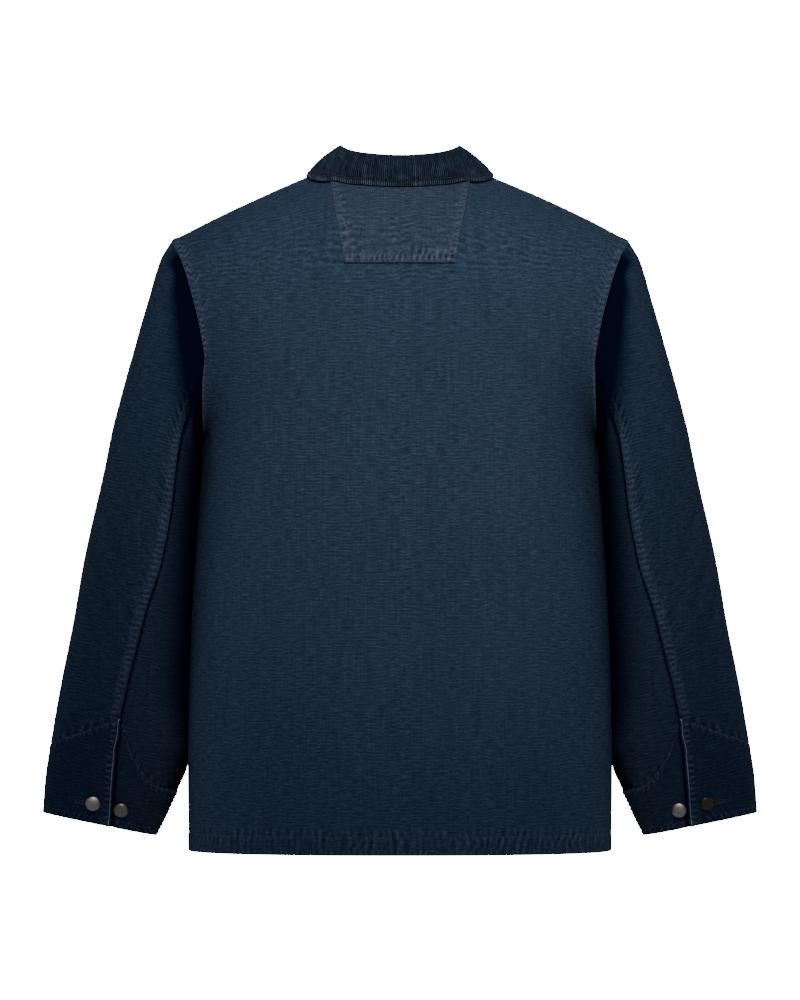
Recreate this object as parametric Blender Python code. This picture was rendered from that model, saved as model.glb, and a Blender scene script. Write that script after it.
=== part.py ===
"""A chore jacket in its worn shape, open and hollow, as the walls of its cut pieces.

Sizes are in millimetres and become metres where a mesh is made. +Z is up, the wearer
faces -Y, and +X is the wearer's left. Height 0 is the high point of the shoulders,
where the neck line meets the shoulder seams; the wearer's shoulders carry it there.

A panel is a grid of points on its outer face, row by row. Angles on a sleeve and on
an armhole go round the arm: 0 outer or top, 90 back, 180 inner or under, -90 front.
"""

import math
from collections import namedtuple

import bmesh
import bpy
from mathutils import Matrix, Vector

MM = 0.001

# ---- cloth and clearances
CANVAS_WALL = 1.3
HEM_WALL = 2.6  # turned twice and stitched
CUFF_WALL = 2.2  # faced
CORDUROY_WALL = 2.6
SEAM_GAP = 0.3
LAP_GAP = 0.5  # between layers that lie on each other
SHARPEST_FOLD = -0.2  # the cosine between two panels that are still mitred
TIP_MITRE = 1.3  # how much deeper the inner corner lies at the shoulder tip

# ---- body
UNDERARM_Z = -290.0
HEM_Z = -728.5
HEM_HEIGHT = 18.5
BODY_POWER = 2.3  # how square the body is in plan; 2 is an ellipse
NECK_HALF_WIDTH = 78.0
NECK_SIDE_Y = 5.0
NECK_BACK_Y, NECK_BACK_Z, NECK_BACK_DIP = 66.0, -17.0, 1.15
NECK_FRONT_Y, NECK_FRONT_Z, NECK_FRONT_DIP = -80.0, -85.0, 1.5
SHOULDER_TIP = Vector((245.0, -5.0, -79.0))
SHOULDER_BOW = 3.4  # how far the shoulder seam arches over a straight line
ARMHOLE_BACK, ARMHOLE_FRONT = 72.0, 84.0  # how far the armhole reaches back and front
# how near the side the armhole's pull on a panel stays, at the shoulder and more at the underarm
PULL_AT_SHOULDER, PULL_AT_UNDERARM = 3.0, 12.0
BUTTON_STAND = 0.065  # the lap past the centre front, as a part of half the front

# ---- sleeves
CUFF_OUTER_Z = -690.0
SLEEVE_POWER = 2.25
SLEEVE_CLEARANCE = 2.6  # between the sleeve and the body's side
SLEEVE_HEAD = 0.24  # the part of the sleeve that takes its shape from the armhole
BACK_SEAM_ON_ARMHOLE = 112.0
CUFF_EDGE_DIP_HEIGHT = 14.0
FLAP_TONGUE_ANGLE = 24.0  # how far the buttons' side reaches in below the flap
FLAP_RAMP_ANGLE = 14.0
FLAP_UNDER_ANGLE = 90.0  # how far past the vent the cuff's under part reaches
INNER_EDGE_BLEND = 20.0  # the height over which the inner edge leaves the body's side

# ---- collar
FOLD_RADIUS = 2.2
COLLAR_FOOT = 1.0  # the stand starts this far above the neck seam
COLLAR_BOW = 1.2

# ---- what is sewn on
PATCH_TOP_HALF, PATCH_BOTTOM_HALF, PATCH_BOTTOM_Z = 75.0, 58.0, -104.5
PATCH_BELOW_NECK = 6.0
PATCH_ROWS, PATCH_COLUMNS = 7, 5  # columns on each side
PATCH_GAP = 0.9
POCKET_TOP_Z, POCKET_BOTTOM_Z = -478.0, -668.0
POCKET_FROM, POCKET_TO = 0.13, 0.70  # parts of half the front
POCKET_CORNER = 22.0
FRONT_BUTTON_Z = (-122.0, -246.0, -370.0, -494.0, -618.0)
BUTTON_RADIUS, BUTTON_RIM, BUTTON_DOME = 8.4, 2.2, 3.4
BUTTON_GAP = 0.85  # the shank holds the button this far off the cloth
CUFF_BUTTONS = ((1, -9.8, 20.5), (2, 12.5, 19.5))  # number, angle past the vent, height

# ---- mesh counts
LOWER_ROWS = 7
ARMHOLE_STEPS = {"under_back": 6, "upper_back": 7, "front": 13}
BACK_NECK_COLUMNS, FRONT_NECK_COLUMNS, SHOULDER_COLUMNS = 5, 6, 9
SLEEVE_ROWS, CUFF_ROWS, POCKET_ROWS = 15, 5, 6
COLLAR_COLUMNS = 16  # each side of the centre back
BUTTON_SEGMENTS = 14


class Table:
    """Rows with named columns, read between rows along a smooth curve."""

    def __init__(self, columns, *rows):
        self.row = namedtuple("Row", columns)
        self.keys, *self.values = zip(*sorted(rows))

    def at(self, key):
        """The row at a key, which is its first column."""
        key = min(max(key, self.keys[0]), self.keys[-1])
        return self.row(key, *(monotone(self.keys, v, key) for v in self.values))


def monotone(xs, ys, x):
    """A cubic through the points that doesn't overshoot them."""
    i = max(k for k in range(len(xs) - 1) if xs[k] <= x)
    steps = [(b - a) / (d - c) for a, b, c, d in zip(ys, ys[1:], xs, xs[1:])]

    def slope(k):
        if k in (0, len(xs) - 1):
            return steps[0 if k == 0 else -1]
        a, b = steps[k - 1], steps[k]
        return 2 * a * b / (a + b) if a * b > 0 else 0.0

    width = xs[i + 1] - xs[i]
    t = (x - xs[i]) / width
    return hermite(ys[i], slope(i) * width, ys[i + 1], slope(i + 1) * width, t)


def hermite(start, leaving, end, arriving, t):
    """The cubic from start to end with the slopes it leaves and arrives with."""
    u = 1 - t
    return (
        start * (1 + 2 * t) * u * u
        + leaving * t * u * u
        + end * (3 - 2 * t) * t * t
        - arriving * t * t * u
    )


def ease(t):
    """A smooth step from 0 to 1."""
    t = min(max(t, 0.0), 1.0)
    return t * t * (3 - 2 * t)


def spread(start, end, steps):
    return [start + (end - start) * k / steps for k in range(steps + 1)]


def rounded(angle, power):
    """Cosine and sine of an angle in degrees, squared up by a superellipse's power."""
    c, s = math.cos(math.radians(angle)), math.sin(math.radians(angle))
    return (
        math.copysign(abs(c) ** (2 / power), c),
        math.copysign(abs(s) ** (2 / power), s),
    )


# ---- the body's form

BODY = Table(
    "z half_width back front",
    (-728.5, 226.0, 133.0, 128.0),
    (-639.0, 227.0, 133.5, 128.5),
    (-507.0, 224.0, 132.0, 127.5),
    (-383.0, 217.0, 129.0, 126.0),
    (-290.0, 209.0, 125.0, 123.0),
)

ARMHOLE_X = Table(
    "z x",
    (-290.0, 209.0),
    (-250.0, 206.5),
    (-219.0, 206.0),
    (-180.0, 211.5),
    (-136.0, 222.0),
    (-98.0, 234.5),
    (-79.0, 245.0),
)

# how each panel meets the neck and the shoulder seam: the way up to the seam
BACK_LEAN = Table("place y z length", (0.0, -0.55, 0.84, 280.0), (0.19, -0.76, 0.65, 310.0),
                  (0.38, -0.95, 0.31, 350.0), (0.70, -0.95, 0.31, 370.0), (1.0, -1.0, 0.10, 340.0))
FRONT_LEAN = Table("place y z length", (0.0, 0.35, 0.94, 220.0), (0.21, 0.62, 0.78, 270.0),
                   (0.42, 0.88, 0.47, 330.0), (0.70, 0.93, 0.36, 350.0), (1.0, 1.0, 0.10, 330.0))
BACK_NECK_PART, FRONT_NECK_PART = 0.38, 0.42  # the neck's part of a panel's top
RISE = 230.0  # how straight a panel leaves the underarm line


def ring_curve(z, side, steps=64):
    """Half of one side of the body's section, from the centre to the side seam."""
    size = BODY.at(z)
    depth = size.back if side > 0 else size.front
    points = []
    for angle in spread(90.0, 0.0, steps):
        c, s = rounded(angle, BODY_POWER)
        points.append(Vector((size.half_width * c, side * depth * s, z)))
    return points


def ring_point(z, side, place):
    """A point of the body below the armholes; place is 0 at the centre, 1 at the side."""
    points = ring_curve(z, side)
    lengths = [0.0]
    for a, b in zip(points, points[1:]):
        lengths.append(lengths[-1] + (b - a).length)
    wanted = min(max(place, 0.0), 1.0) * lengths[-1]
    k = max(i for i in range(len(points) - 1) if lengths[i] <= wanted)
    return points[k].lerp(points[k + 1], (wanted - lengths[k]) / (lengths[k + 1] - lengths[k]))


def neck_point(side, part):
    """The neck seam, from the centre (0) to the shoulder seam (1)."""
    angle = math.radians(90 * part)
    y, z, dip = NECK_BACK_Y, NECK_BACK_Z, NECK_BACK_DIP
    if side < 0:
        y, z, dip = NECK_FRONT_Y, NECK_FRONT_Z, NECK_FRONT_DIP
    return Vector((
        NECK_HALF_WIDTH * math.sin(angle),
        NECK_SIDE_Y + (y - NECK_SIDE_Y) * math.cos(angle),
        z * max(math.cos(angle), 0.0) ** dip,
    ))


def top_point(side, place):
    """The top of a panel: the neck seam, then the shoulder seam out to its tip."""
    neck = BACK_NECK_PART if side > 0 else FRONT_NECK_PART
    if place <= neck:
        return neck_point(side, place / neck)
    along = (place - neck) / (1 - neck)
    arch = SHOULDER_BOW * math.sin(math.pi * along**1.4)
    return neck_point(side, 1.0).lerp(SHOULDER_TIP, along) + Vector((0, 0, arch))


def armhole_point(angle):
    low, high = UNDERARM_Z, SHOULDER_TIP.z
    z = (low + high) / 2 + (high - low) / 2 * math.cos(math.radians(angle))
    centre = SHOULDER_TIP.y * (z - low) / (high - low)
    reach = ARMHOLE_BACK if angle > 0 else ARMHOLE_FRONT
    return Vector((ARMHOLE_X.at(z).x, centre + reach * math.sin(math.radians(angle)), z))


def upper_point(side, place, height):
    """A point of a panel beside or above the armholes; height is 0 at the underarm."""
    if place < 0:
        return mirrored(upper_point(side, -place, height))

    def column(at):
        low = ring_point(UNDERARM_Z, side, at)
        below = ring_point(UNDERARM_Z - 10, side, at)
        lean = (BACK_LEAN if side > 0 else FRONT_LEAN).at(at)
        arriving = Vector((0, lean.y, lean.z)) * lean.length
        return hermite(low, (low - below) / 10 * RISE, top_point(side, at), arriving, height)

    pull = armhole_point(side * 180 * (1 - height)) - column(1.0)
    power = PULL_AT_SHOULDER + PULL_AT_UNDERARM * (1 - height) ** 3
    return column(place) + pull * place**power


def body_point(side, place, z):
    """A point of the body below the underarm, also past the centre."""
    if place < 0:
        return mirrored(ring_point(z, side, -place))
    return ring_point(z, side, place)


def mirrored(point):
    return Vector((-point.x, point.y, point.z))


# ---- the sleeves' form

# inner_x is only needed where the sleeve leaves the body's side
SLEEVE = Table(
    "drop outer_x outer_z inner_z depth middle_y",
    *(
        (-79.0 - outer_z, outer_x, outer_z, inner_z, depth, middle_y)
        for outer_x, outer_z, inner_z, depth, middle_y in (
            (245.0, -79.0, -290.0, 78.0, -5.0),
            (256.5, -98.0, -292.0, 79.0, -5.0),
            (269.0, -141.0, -301.0, 81.0, -6.0),
            (282.0, -184.0, -314.0, 82.0, -8.0),
            (294.0, -227.0, -331.0, 82.0, -11.0),
            (305.5, -270.0, -352.0, 81.0, -15.0),
            (315.0, -312.0, -376.0, 79.0, -20.0),
            (325.0, -355.0, -403.0, 76.0, -25.0),
            (339.0, -419.0, -453.0, 69.0, -32.0),
            (350.5, -484.0, -513.0, 60.0, -37.0),
            (363.5, -548.0, -577.0, 50.0, -41.0),
            (375.0, -612.0, -641.0, 40.0, -44.0),
            (382.0, -655.0, -682.0, 33.0, -46.0),
            (384.5, -690.0, -715.0, 28.0, -47.0),
        )
    ),
)
CUFF_INNER = Table("z x", (-715.0, 262.0), (-690.0, 250.0), (-664.0, 238.0),
                   (-641.0, 228.5), (-620.0, 226.0))
BACK_SEAM = Table("drop angle", (0.0, BACK_SEAM_ON_ARMHOLE), (230.0, 114.5), (310.0, 110.0),
                  (385.0, 99.0), (440.0, 91.5), (500.0, 84.0), (560.0, 88.0), (611.0, 95.0))
CUFF_LINE_TOP = Table("angle height", (-180.0, 50.0), (-90.0, 62.0), (-40.0, 68.0),
                      (14.0, 75.0), (39.0, 84.0), (57.0, 93.0), (70.0, 102.0), (88.0, 115.0))
CUFF_LINE_UNDER = Table("angle height", (84.0, 113.0), (103.0, 88.0), (109.0, 77.0),
                        (118.0, 65.0), (127.0, 57.5), (143.0, 51.5), (180.0, 50.0))
SLEEVE_LENGTH = SHOULDER_TIP.z - CUFF_OUTER_Z
APEX_DROP = SLEEVE_LENGTH - 115.0  # where the vent starts


def beside_body(z, y):
    """How far out the sleeve's inner edge lies: just clear of the body's side."""
    size = BODY.at(z)
    depth = size.back if y > 0 else size.front
    side = size.half_width * (1 - abs(y / depth) ** BODY_POWER) ** (1 / BODY_POWER)
    return side + SLEEVE_CLEARANCE


def sleeve_section(drop, angle):
    size = SLEEVE.at(drop)
    if size.inner_z > CUFF_INNER.keys[0] and size.inner_z < CUFF_INNER.keys[-1]:
        inner_x = CUFF_INNER.at(size.inner_z).x
        share = ease((CUFF_INNER.keys[-1] - size.inner_z) / INNER_EDGE_BLEND)
        inner_x += (1 - share) * (beside_body(size.inner_z, size.middle_y) - inner_x)
    elif size.inner_z <= CUFF_INNER.keys[0]:
        inner_x = CUFF_INNER.values[0][0]
    else:
        inner_x = beside_body(size.inner_z, size.middle_y)
    outer = Vector((size.outer_x, size.middle_y, size.outer_z))
    inner = Vector((inner_x, size.middle_y, size.inner_z))
    c, s = rounded(angle, SLEEVE_POWER)
    return outer.lerp(inner, (1 - c) / 2) + Vector((0, size.depth * s, 0))


def sleeve_point(drop, angle):
    """A point of the sleeve; drop is how far its outer edge has come down."""
    head = ease(1 - drop / SLEEVE_LENGTH / SLEEVE_HEAD)
    turned = (angle + 180) % 360 - 180 if abs(angle) > 180 else angle
    start = armhole_point(turned) - sleeve_section(0.0, turned)
    return sleeve_section(drop, turned) + start * head


def armhole_angles():
    """From the underarm up the back, over the tip, and down the front."""
    n = ARMHOLE_STEPS
    under = spread(180.0, BACK_SEAM_ON_ARMHOLE, n["under_back"])
    upper = spread(BACK_SEAM_ON_ARMHOLE, 0.0, n["upper_back"])
    front = spread(0.0, -180.0, n["front"])
    return under, upper, front


# ---- grids, normals and walls


class Panel:
    """A cut piece: the grid of its outer face, its thickness, and which way is out."""

    def __init__(self, name, grid, outward, wall=CANVAS_WALL):
        self.name, self.grid = name, grid
        self.wall = wall if callable(wall) else lambda r, c: wall
        self.rows, self.columns = len(grid), len(grid[0])
        self.normals = [[self.normal(r, c) for c in range(self.columns)] for r in range(self.rows)]
        middle = self.normals[self.rows // 2][self.columns // 2]
        at = grid[self.rows // 2][self.columns // 2]
        if middle.dot(outward(at)) < 0:
            self.normals = [[-n for n in row] for row in self.normals]
        self.inward = [
            [-n * self.wall(r, c) for c, n in enumerate(row)] for r, row in enumerate(self.normals)
        ]

    def normal(self, r, c):
        g = self.grid
        along = g[min(r + 1, self.rows - 1)][c] - g[max(r - 1, 0)][c]
        across = g[r][min(c + 1, self.columns - 1)] - g[r][max(c - 1, 0)]
        return along.cross(across).normalized()

    def away(self, r, c):
        """From an edge point into the panel."""
        g, mid_r, mid_c = self.grid, self.rows // 2, self.columns // 2
        inner_r = r + (r < mid_r) - (r > mid_r) if r in (0, self.rows - 1) else r
        inner_c = c + (c < mid_c) - (c > mid_c) if c in (0, self.columns - 1) else c
        return (g[inner_r][inner_c] - g[r][c]).normalized()

    def edge(self, which, start=None, stop=None):
        last_r, last_c = self.rows - 1, self.columns - 1
        line = {
            "first_row": [(0, c) for c in range(self.columns)],
            "last_row": [(last_r, c) for c in range(self.columns)],
            "first_column": [(r, 0) for r in range(self.rows)],
            "last_column": [(r, last_c) for r in range(self.rows)],
        }[which]
        return line[slice(start, stop)]


def sew(a, edge_a, b, edge_b):
    """Mitre two panels' inner faces along a shared seam, where they would meet."""
    for (ra, ca), (rb, cb) in zip(edge_a, edge_b, strict=True):
        na, nb = a.normals[ra][ca], b.normals[rb][cb]
        turned_in = a.away(ra, ca).dot(nb) <= 0
        if na.dot(nb) > (SHARPEST_FOLD if turned_in else 0.0):
            shared = (na + nb) / (1 + na.dot(nb))
            a.inward[ra][ca] = -shared * a.wall(ra, ca)
            b.inward[rb][cb] = -shared * b.wall(rb, cb)


def trimmed(grid, cut=SEAM_GAP / 2):
    """The grid with its edges drawn in, so that sewn panels don't touch."""
    rows, columns = len(grid), len(grid[0])
    result = [[p.copy() for p in row] for row in grid]
    for r in range(rows):
        for c, step in ((0, 1), (columns - 1, -1)):
            result[r][c] += (grid[r][c + step] - grid[r][c]).normalized() * cut
    for c in range(columns):
        for r, step in ((0, 1), (rows - 1, -1)):
            result[r][c] += (grid[r + step][c] - grid[r][c]).normalized() * cut
    return result


def wall_object(panel, material, parent):
    """The closed wall of a panel, between its outer grid and its inner one."""
    inner = [
        [p + panel.inward[r][c] for c, p in enumerate(row)] for r, row in enumerate(panel.grid)
    ]
    return shell_object(panel.name, trimmed(panel.grid), trimmed(inner), material, parent)


def shell_object(name, outer, inner, material, parent):
    """Two grids of the same shape joined along their edges into one closed solid."""
    rows, columns = len(outer), len(outer[0])
    mesh_maker = bmesh.new()
    sheets = [
        [[mesh_maker.verts.new(p * MM) for p in row] for row in grid] for grid in (outer, inner)
    ]
    for sheet in sheets:
        for r in range(rows - 1):
            for c in range(columns - 1):
                corners = sheet[r][c], sheet[r][c + 1], sheet[r + 1][c + 1], sheet[r + 1][c]
                mesh_maker.faces.new(corners)
    border = [edge for edge in mesh_maker.edges if edge.is_boundary]
    bmesh.ops.bridge_loops(mesh_maker, edges=border)
    bmesh.ops.triangulate(mesh_maker, faces=mesh_maker.faces, quad_method="SHORT_EDGE")
    bmesh.ops.recalc_face_normals(mesh_maker, faces=mesh_maker.faces)
    return finished_object(name, mesh_maker, material, parent)


def finished_object(name, mesh_maker, material, parent, place=None):
    mesh = bpy.data.meshes.new(name)
    mesh_maker.to_mesh(mesh)
    mesh_maker.free()
    mesh.shade_smooth()
    mesh.set_sharp_from_angle(angle=math.radians(40))
    mesh.materials.append(material)
    obj = bpy.data.objects.new(name, mesh)
    bpy.context.scene.collection.objects.link(obj)
    obj.parent = parent
    if place is not None:
        obj.matrix_local = place
    return obj


# ---- the body's panels


def lower_heights():
    """Rows from the hem up to the underarm, with the hem's own rows."""
    stitch = HEM_Z + HEM_HEIGHT
    return [HEM_Z, stitch, stitch + 2.5] + spread(stitch + 2.5, UNDERARM_Z, LOWER_ROWS)[1:]


def hem_wall(r, _c):
    return HEM_WALL if r < 2 else CANVAS_WALL


def panel_places(neck_part, neck_columns, start=0.0):
    neck = spread(0.0, neck_part, neck_columns)
    shoulder = spread(neck_part, 1.0, SHOULDER_COLUMNS)[1:]
    lap = spread(start, 0.0, 2)[:-1] if start else []
    return lap + neck + shoulder


def half_grid(side, places):
    """Rows from the hem to the shoulder, columns from the centre to the side."""
    under, upper, front = armhole_angles()
    angles = under[1:] + upper[1:] if side > 0 else [-a for a in front[-2::-1]]
    grid = [[body_point(side, p, z) for p in places] for z in lower_heights()]
    grid += [[upper_point(side, p, 1 - a / 180) for p in places] for a in angles]
    return grid


def outward_from_axis(point):
    return Vector((point.x, point.y, 0))


def back_panel():
    half = half_grid(1, panel_places(BACK_NECK_PART, BACK_NECK_COLUMNS))
    grid = [[mirrored(p) for p in row[:0:-1]] + row for row in half]
    return Panel("back", grid, outward_from_axis, hem_wall)


def front_panel(name, sign):
    """sign is 1 for the wearer's left front, whose edge lies on top, or -1."""
    places = panel_places(FRONT_NECK_PART, FRONT_NECK_COLUMNS, -BUTTON_STAND)
    grid = half_grid(-1, places)
    if sign < 0:
        depth = HEM_WALL + LAP_GAP
        flat = Panel(name, grid, outward_from_axis)
        grid = [
            [
                p - flat.normals[r][c] * depth * ease((3 * BUTTON_STAND - places[c]) / BUTTON_STAND / 2)
                for c, p in enumerate(row)
            ]
            for r, row in enumerate(grid)
        ]
        grid = [[mirrored(p) for p in row] for row in grid]
    return Panel(name, grid, outward_from_axis, hem_wall)


# ---- the sleeves' panels


def cuff_drop(angle, line):
    return SLEEVE_LENGTH - line.at(angle).height


def sleeve_rows():
    """Closer rows near the armhole, as parts of the way to the cuff's seam."""
    return [(k / SLEEVE_ROWS) ** 1.15 for k in range(SLEEVE_ROWS + 1)]


def sleeve_grids(parts, end_angle, line):
    """The sleeve's and the cuff's grid for columns between the back seam and the inseam."""

    def angle_at(drop, part):
        seam = BACK_SEAM.at(drop).angle
        return seam + (end_angle - seam) * part

    def seam_drop(part):
        drop = APEX_DROP
        for _ in range(12):
            drop = cuff_drop(angle_at(drop, part), line)
        return drop

    ends = [seam_drop(part) for part in parts]
    drops = [[row * end for end in ends] for row in sleeve_rows()]
    starts = [end + SEAM_GAP for end in ends]
    cuff = [[d + (SLEEVE_LENGTH - d) * k / CUFF_ROWS for d in starts] for k in range(CUFF_ROWS + 1)]
    return [
        [[sleeve_point(d, angle_at(d, part)) for d, part in zip(row, parts)] for row in rows]
        for rows in (drops, cuff)
    ]


def sleeve_outward(point):
    drop = SHOULDER_TIP.z - point.z
    size = SLEEVE.at(min(max(drop, 0.0), SLEEVE_LENGTH))
    return Vector((point.x - (size.outer_x + BODY.at(point.z).half_width) / 2, point.y - size.middle_y, 0))


def sleeve_panels():
    """The left sleeve's four panels, from the wearer's left."""
    under, upper, front = armhole_angles()
    top_angles = upper + front[1:]
    whole = BACK_SEAM_ON_ARMHOLE + 180.0
    top_parts = [(BACK_SEAM_ON_ARMHOLE - a) / whole for a in top_angles]
    under_parts = [(a - BACK_SEAM_ON_ARMHOLE) / (180.0 - BACK_SEAM_ON_ARMHOLE) for a in under[::-1]]
    top, cuff_top = sleeve_grids(top_parts, -180.0, CUFF_LINE_TOP)
    below, cuff_under = sleeve_grids(under_parts, 180.0, CUFF_LINE_UNDER)
    panels = {
        "top_sleeve": Panel("top_sleeve", top, sleeve_outward),
        "under_sleeve": Panel("under_sleeve", below, sleeve_outward),
        "cuff_top": Panel("cuff_top", cuff_top, sleeve_outward, CUFF_WALL),
        "cuff_under": Panel("cuff_under", with_tongue(cuff_under), sleeve_outward, CUFF_WALL),
    }
    return panels


def vent_depth(angle_past_vent):
    """How deep the buttons' side of the cuff lies below the flap's outer face."""
    return (CUFF_WALL + LAP_GAP) * ease(1 - angle_past_vent / FLAP_RAMP_ANGLE)


def with_tongue(grid):
    """The under cuff with the tongue that reaches in below the flap."""
    flat = Panel("cuff_under", grid, sleeve_outward)
    rows = []
    for r, row in enumerate(grid):
        tongue = []
        for part in (1.0, 0.5):
            drop_from = APEX_DROP + CUFF_EDGE_DIP_HEIGHT
            drop = drop_from + (SLEEVE_LENGTH - drop_from) * r / CUFF_ROWS
            seam = BACK_SEAM.at(drop).angle
            here = sleeve_point(drop, seam - FLAP_TONGUE_ANGLE * part)
            beside = sleeve_point(drop, seam - FLAP_TONGUE_ANGLE * part + 4)
            above = sleeve_point(drop - 4, seam - FLAP_TONGUE_ANGLE * part)
            out = (beside - here).cross(above - here).normalized()
            if out.dot(sleeve_outward(here)) < 0:
                out = -out
            tongue.append(here - out * (CUFF_WALL + LAP_GAP))
        dipped = []
        for c, point in enumerate(row):
            angle_past = c / (len(row) - 1) * FLAP_UNDER_ANGLE
            dipped.append(point - flat.normals[r][c] * vent_depth(angle_past))
        rows.append(tongue + dipped)
    return rows


# ---- the collar

# reach is how far out from the neck seam, seen from above, the leaf's edge lies
COLLAR = Table(
    "place height inward reach lift",
    (0.0, 27.0, 8.0, 4.6, 4.6),
    (0.18, 26.5, 9.5, 8.0, 4.6),
    (0.30, 25.5, 15.0, 12.5, 4.2),
    (0.43, 24.0, 20.0, 19.0, 3.6),
    (0.60, 22.0, 16.0, 21.0, 3.4),
    (0.80, 18.0, 8.0, 17.0, 3.4),
    (1.0, 13.0, 4.0, 13.0, 3.6),
)
COLLAR_BACK_PART = 0.43  # the back neck's part of half the collar
COLLAR_END = 0.992  # just short of the centre front
SPREAD_FROM = 0.72  # the leaf leans towards its point from here on
COLLAR_POINT_SPREAD = 26.0  # how far the point lies outside the centre front


def surface_at(side, axes, first, second):
    """The body's point, and its outward direction, where two coordinates have these values."""
    place, height, step = 0.3, 0.95, 0.004
    for _ in range(30):
        here = upper_point(side, place, height)
        by_place = (upper_point(side, place + step, height) - here) / step
        by_height = (here - upper_point(side, place, height - step)) / step
        (pa, pb), (ha, hb) = ([getattr(v, axis) for axis in axes] for v in (by_place, by_height))
        da, db = first - getattr(here, axes[0]), second - getattr(here, axes[1])
        det = pa * hb - ha * pb
        place += min(max((da * hb - ha * db) / det, -0.1), 0.1)
        height += min(max((pa * db - da * pb) / det, -0.1), 0.1)
        place, height = min(max(place, 0.0), 0.9), min(max(height, 0.3), 1.0)
    out = by_place.cross(by_height).normalized()
    return here, out if out.z > 0 else -out


def surface_below(x, y):
    """The body's point and outward direction that lie under a place in plan, x at least 0."""
    along = (x - NECK_HALF_WIDTH) / (SHOULDER_TIP.x - NECK_HALF_WIDTH)
    seam_y = NECK_SIDE_Y + (SHOULDER_TIP.y - NECK_SIDE_Y) * max(along, 0.0)
    return surface_at(1 if y >= seam_y else -1, "xy", x, y)


def collar_section(place):
    """Middle line of the collar at a place from the centre back (0) to the front (1)."""
    side, part = 1, place / COLLAR_BACK_PART
    if place > COLLAR_BACK_PART:
        side, part = -1, (1 - place) / (1 - COLLAR_BACK_PART)
    seam = neck_point(side, part)
    size = COLLAR.at(place)
    near = neck_point(side, part - 0.02) if part > 0.5 else neck_point(side, part + 0.02)
    away = Vector((near.y - seam.y, seam.x - near.x, 0)).normalized()
    if away.dot(outward_from_axis(seam)) < 0:
        away = -away
    up = (Vector((0, 0, size.height)) - away * size.inward).normalized()
    tall = math.hypot(size.height, size.inward)
    foot = seam + up * COLLAR_FOOT
    bend = seam + up * (tall - FOLD_RADIUS)
    stand = [foot.lerp(bend, k / 3) for k in range(3)]
    across = (away - up * away.dot(up)).normalized()
    fold = [
        bend + across * FOLD_RADIUS * (1 - math.cos(a)) + up * FOLD_RADIUS * math.sin(a)
        for a in (math.pi * k / 4 for k in range(5))
    ]
    under = seam + away * size.reach
    under.x += COLLAR_POINT_SPREAD * ease((place - SPREAD_FROM) / (1 - SPREAD_FROM))
    cloth, out = surface_below(under.x, under.y)
    edge = cloth + out * size.lift
    leaf = []
    for t in spread(0.2, 1.0, 4):
        bow = (across + out) * COLLAR_BOW * math.sin(math.pi * t)
        leaf.append(fold[-1].lerp(edge, t) + bow)
    return stand + fold + leaf


def collar_object(material, parent):
    places = spread(0.0, COLLAR_END, COLLAR_COLUMNS)
    half = [collar_section(p) for p in places]
    columns = [[mirrored(p) for p in column] for column in half[:0:-1]] + half
    middle = [list(row) for row in zip(*columns)]
    panel = Panel("collar", middle, lambda p: outward_from_axis(p) * -1, CORDUROY_WALL)
    fold_row = 5
    if panel.normals[fold_row][COLLAR_COLUMNS].z < 0:
        panel.normals = [[-n for n in row] for row in panel.normals]
    half_wall = CORDUROY_WALL / 2
    faces = [
        [[p + panel.normals[r][c] * s for c, p in enumerate(row)] for r, row in enumerate(middle)]
        for s in (half_wall, -half_wall)
    ]
    return shell_object("collar", faces[0], faces[1], material, parent)


# ---- what is sewn on the panels


def find(function, target, low, high):
    """Where a rising function reaches the target."""
    for _ in range(40):
        middle = (low + high) / 2
        if function(middle) < target:
            low = middle
        else:
            high = middle
    return (low + high) / 2


def laid_on(name, grid, outward, wall, material, parent, gap=LAP_GAP):
    """A piece that lies on a panel: the panel's points, moved out."""
    under = Panel(name, grid, outward)
    faces = [
        [[p + under.normals[r][c] * rise for c, p in enumerate(row)] for r, row in enumerate(grid)]
        for rise in (gap + wall, gap)
    ]
    return shell_object(name, faces[0], faces[1], material, parent)


def back_patch(material, parent):
    rows = []
    for share in spread(0.0, 1.0, PATCH_ROWS):
        half = PATCH_BOTTOM_HALF + (PATCH_TOP_HALF - PATCH_BOTTOM_HALF) * share
        row = []
        for x in spread(0.0, half, PATCH_COLUMNS):
            part = math.degrees(math.asin(min(x / NECK_HALF_WIDTH, 1.0))) / 90
            top_z = neck_point(1, part).z - PATCH_BELOW_NECK
            row.append(surface_at(1, "xz", x, PATCH_BOTTOM_Z + (top_z - PATCH_BOTTOM_Z) * share)[0])
        rows.append(row)
    grid = [[mirrored(p) for p in row[:0:-1]] + row for row in rows]
    return laid_on("back_patch", grid, outward_from_axis, CANVAS_WALL, material, parent, PATCH_GAP)


def pocket(name, sign, material, parent):
    """A plain patch pocket with its bottom corners cut off, on one front."""
    places = [p for p in panel_places(FRONT_NECK_PART, FRONT_NECK_COLUMNS) if POCKET_FROM < p < POCKET_TO]
    corners = (0, len(places) - 1)
    grid = []
    for share in spread(0.0, 1.0, POCKET_ROWS):
        row = []
        for c, place in enumerate(places):
            bottom = POCKET_BOTTOM_Z + POCKET_CORNER * (c in corners)
            row.append(ring_point(bottom + (POCKET_TOP_Z - bottom) * share, -1, place))
        grid.append(row)
    if sign < 0:
        grid = [[mirrored(p) for p in row] for row in grid]
    return laid_on(name, grid, outward_from_axis, CANVAS_WALL, material, parent)


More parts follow.
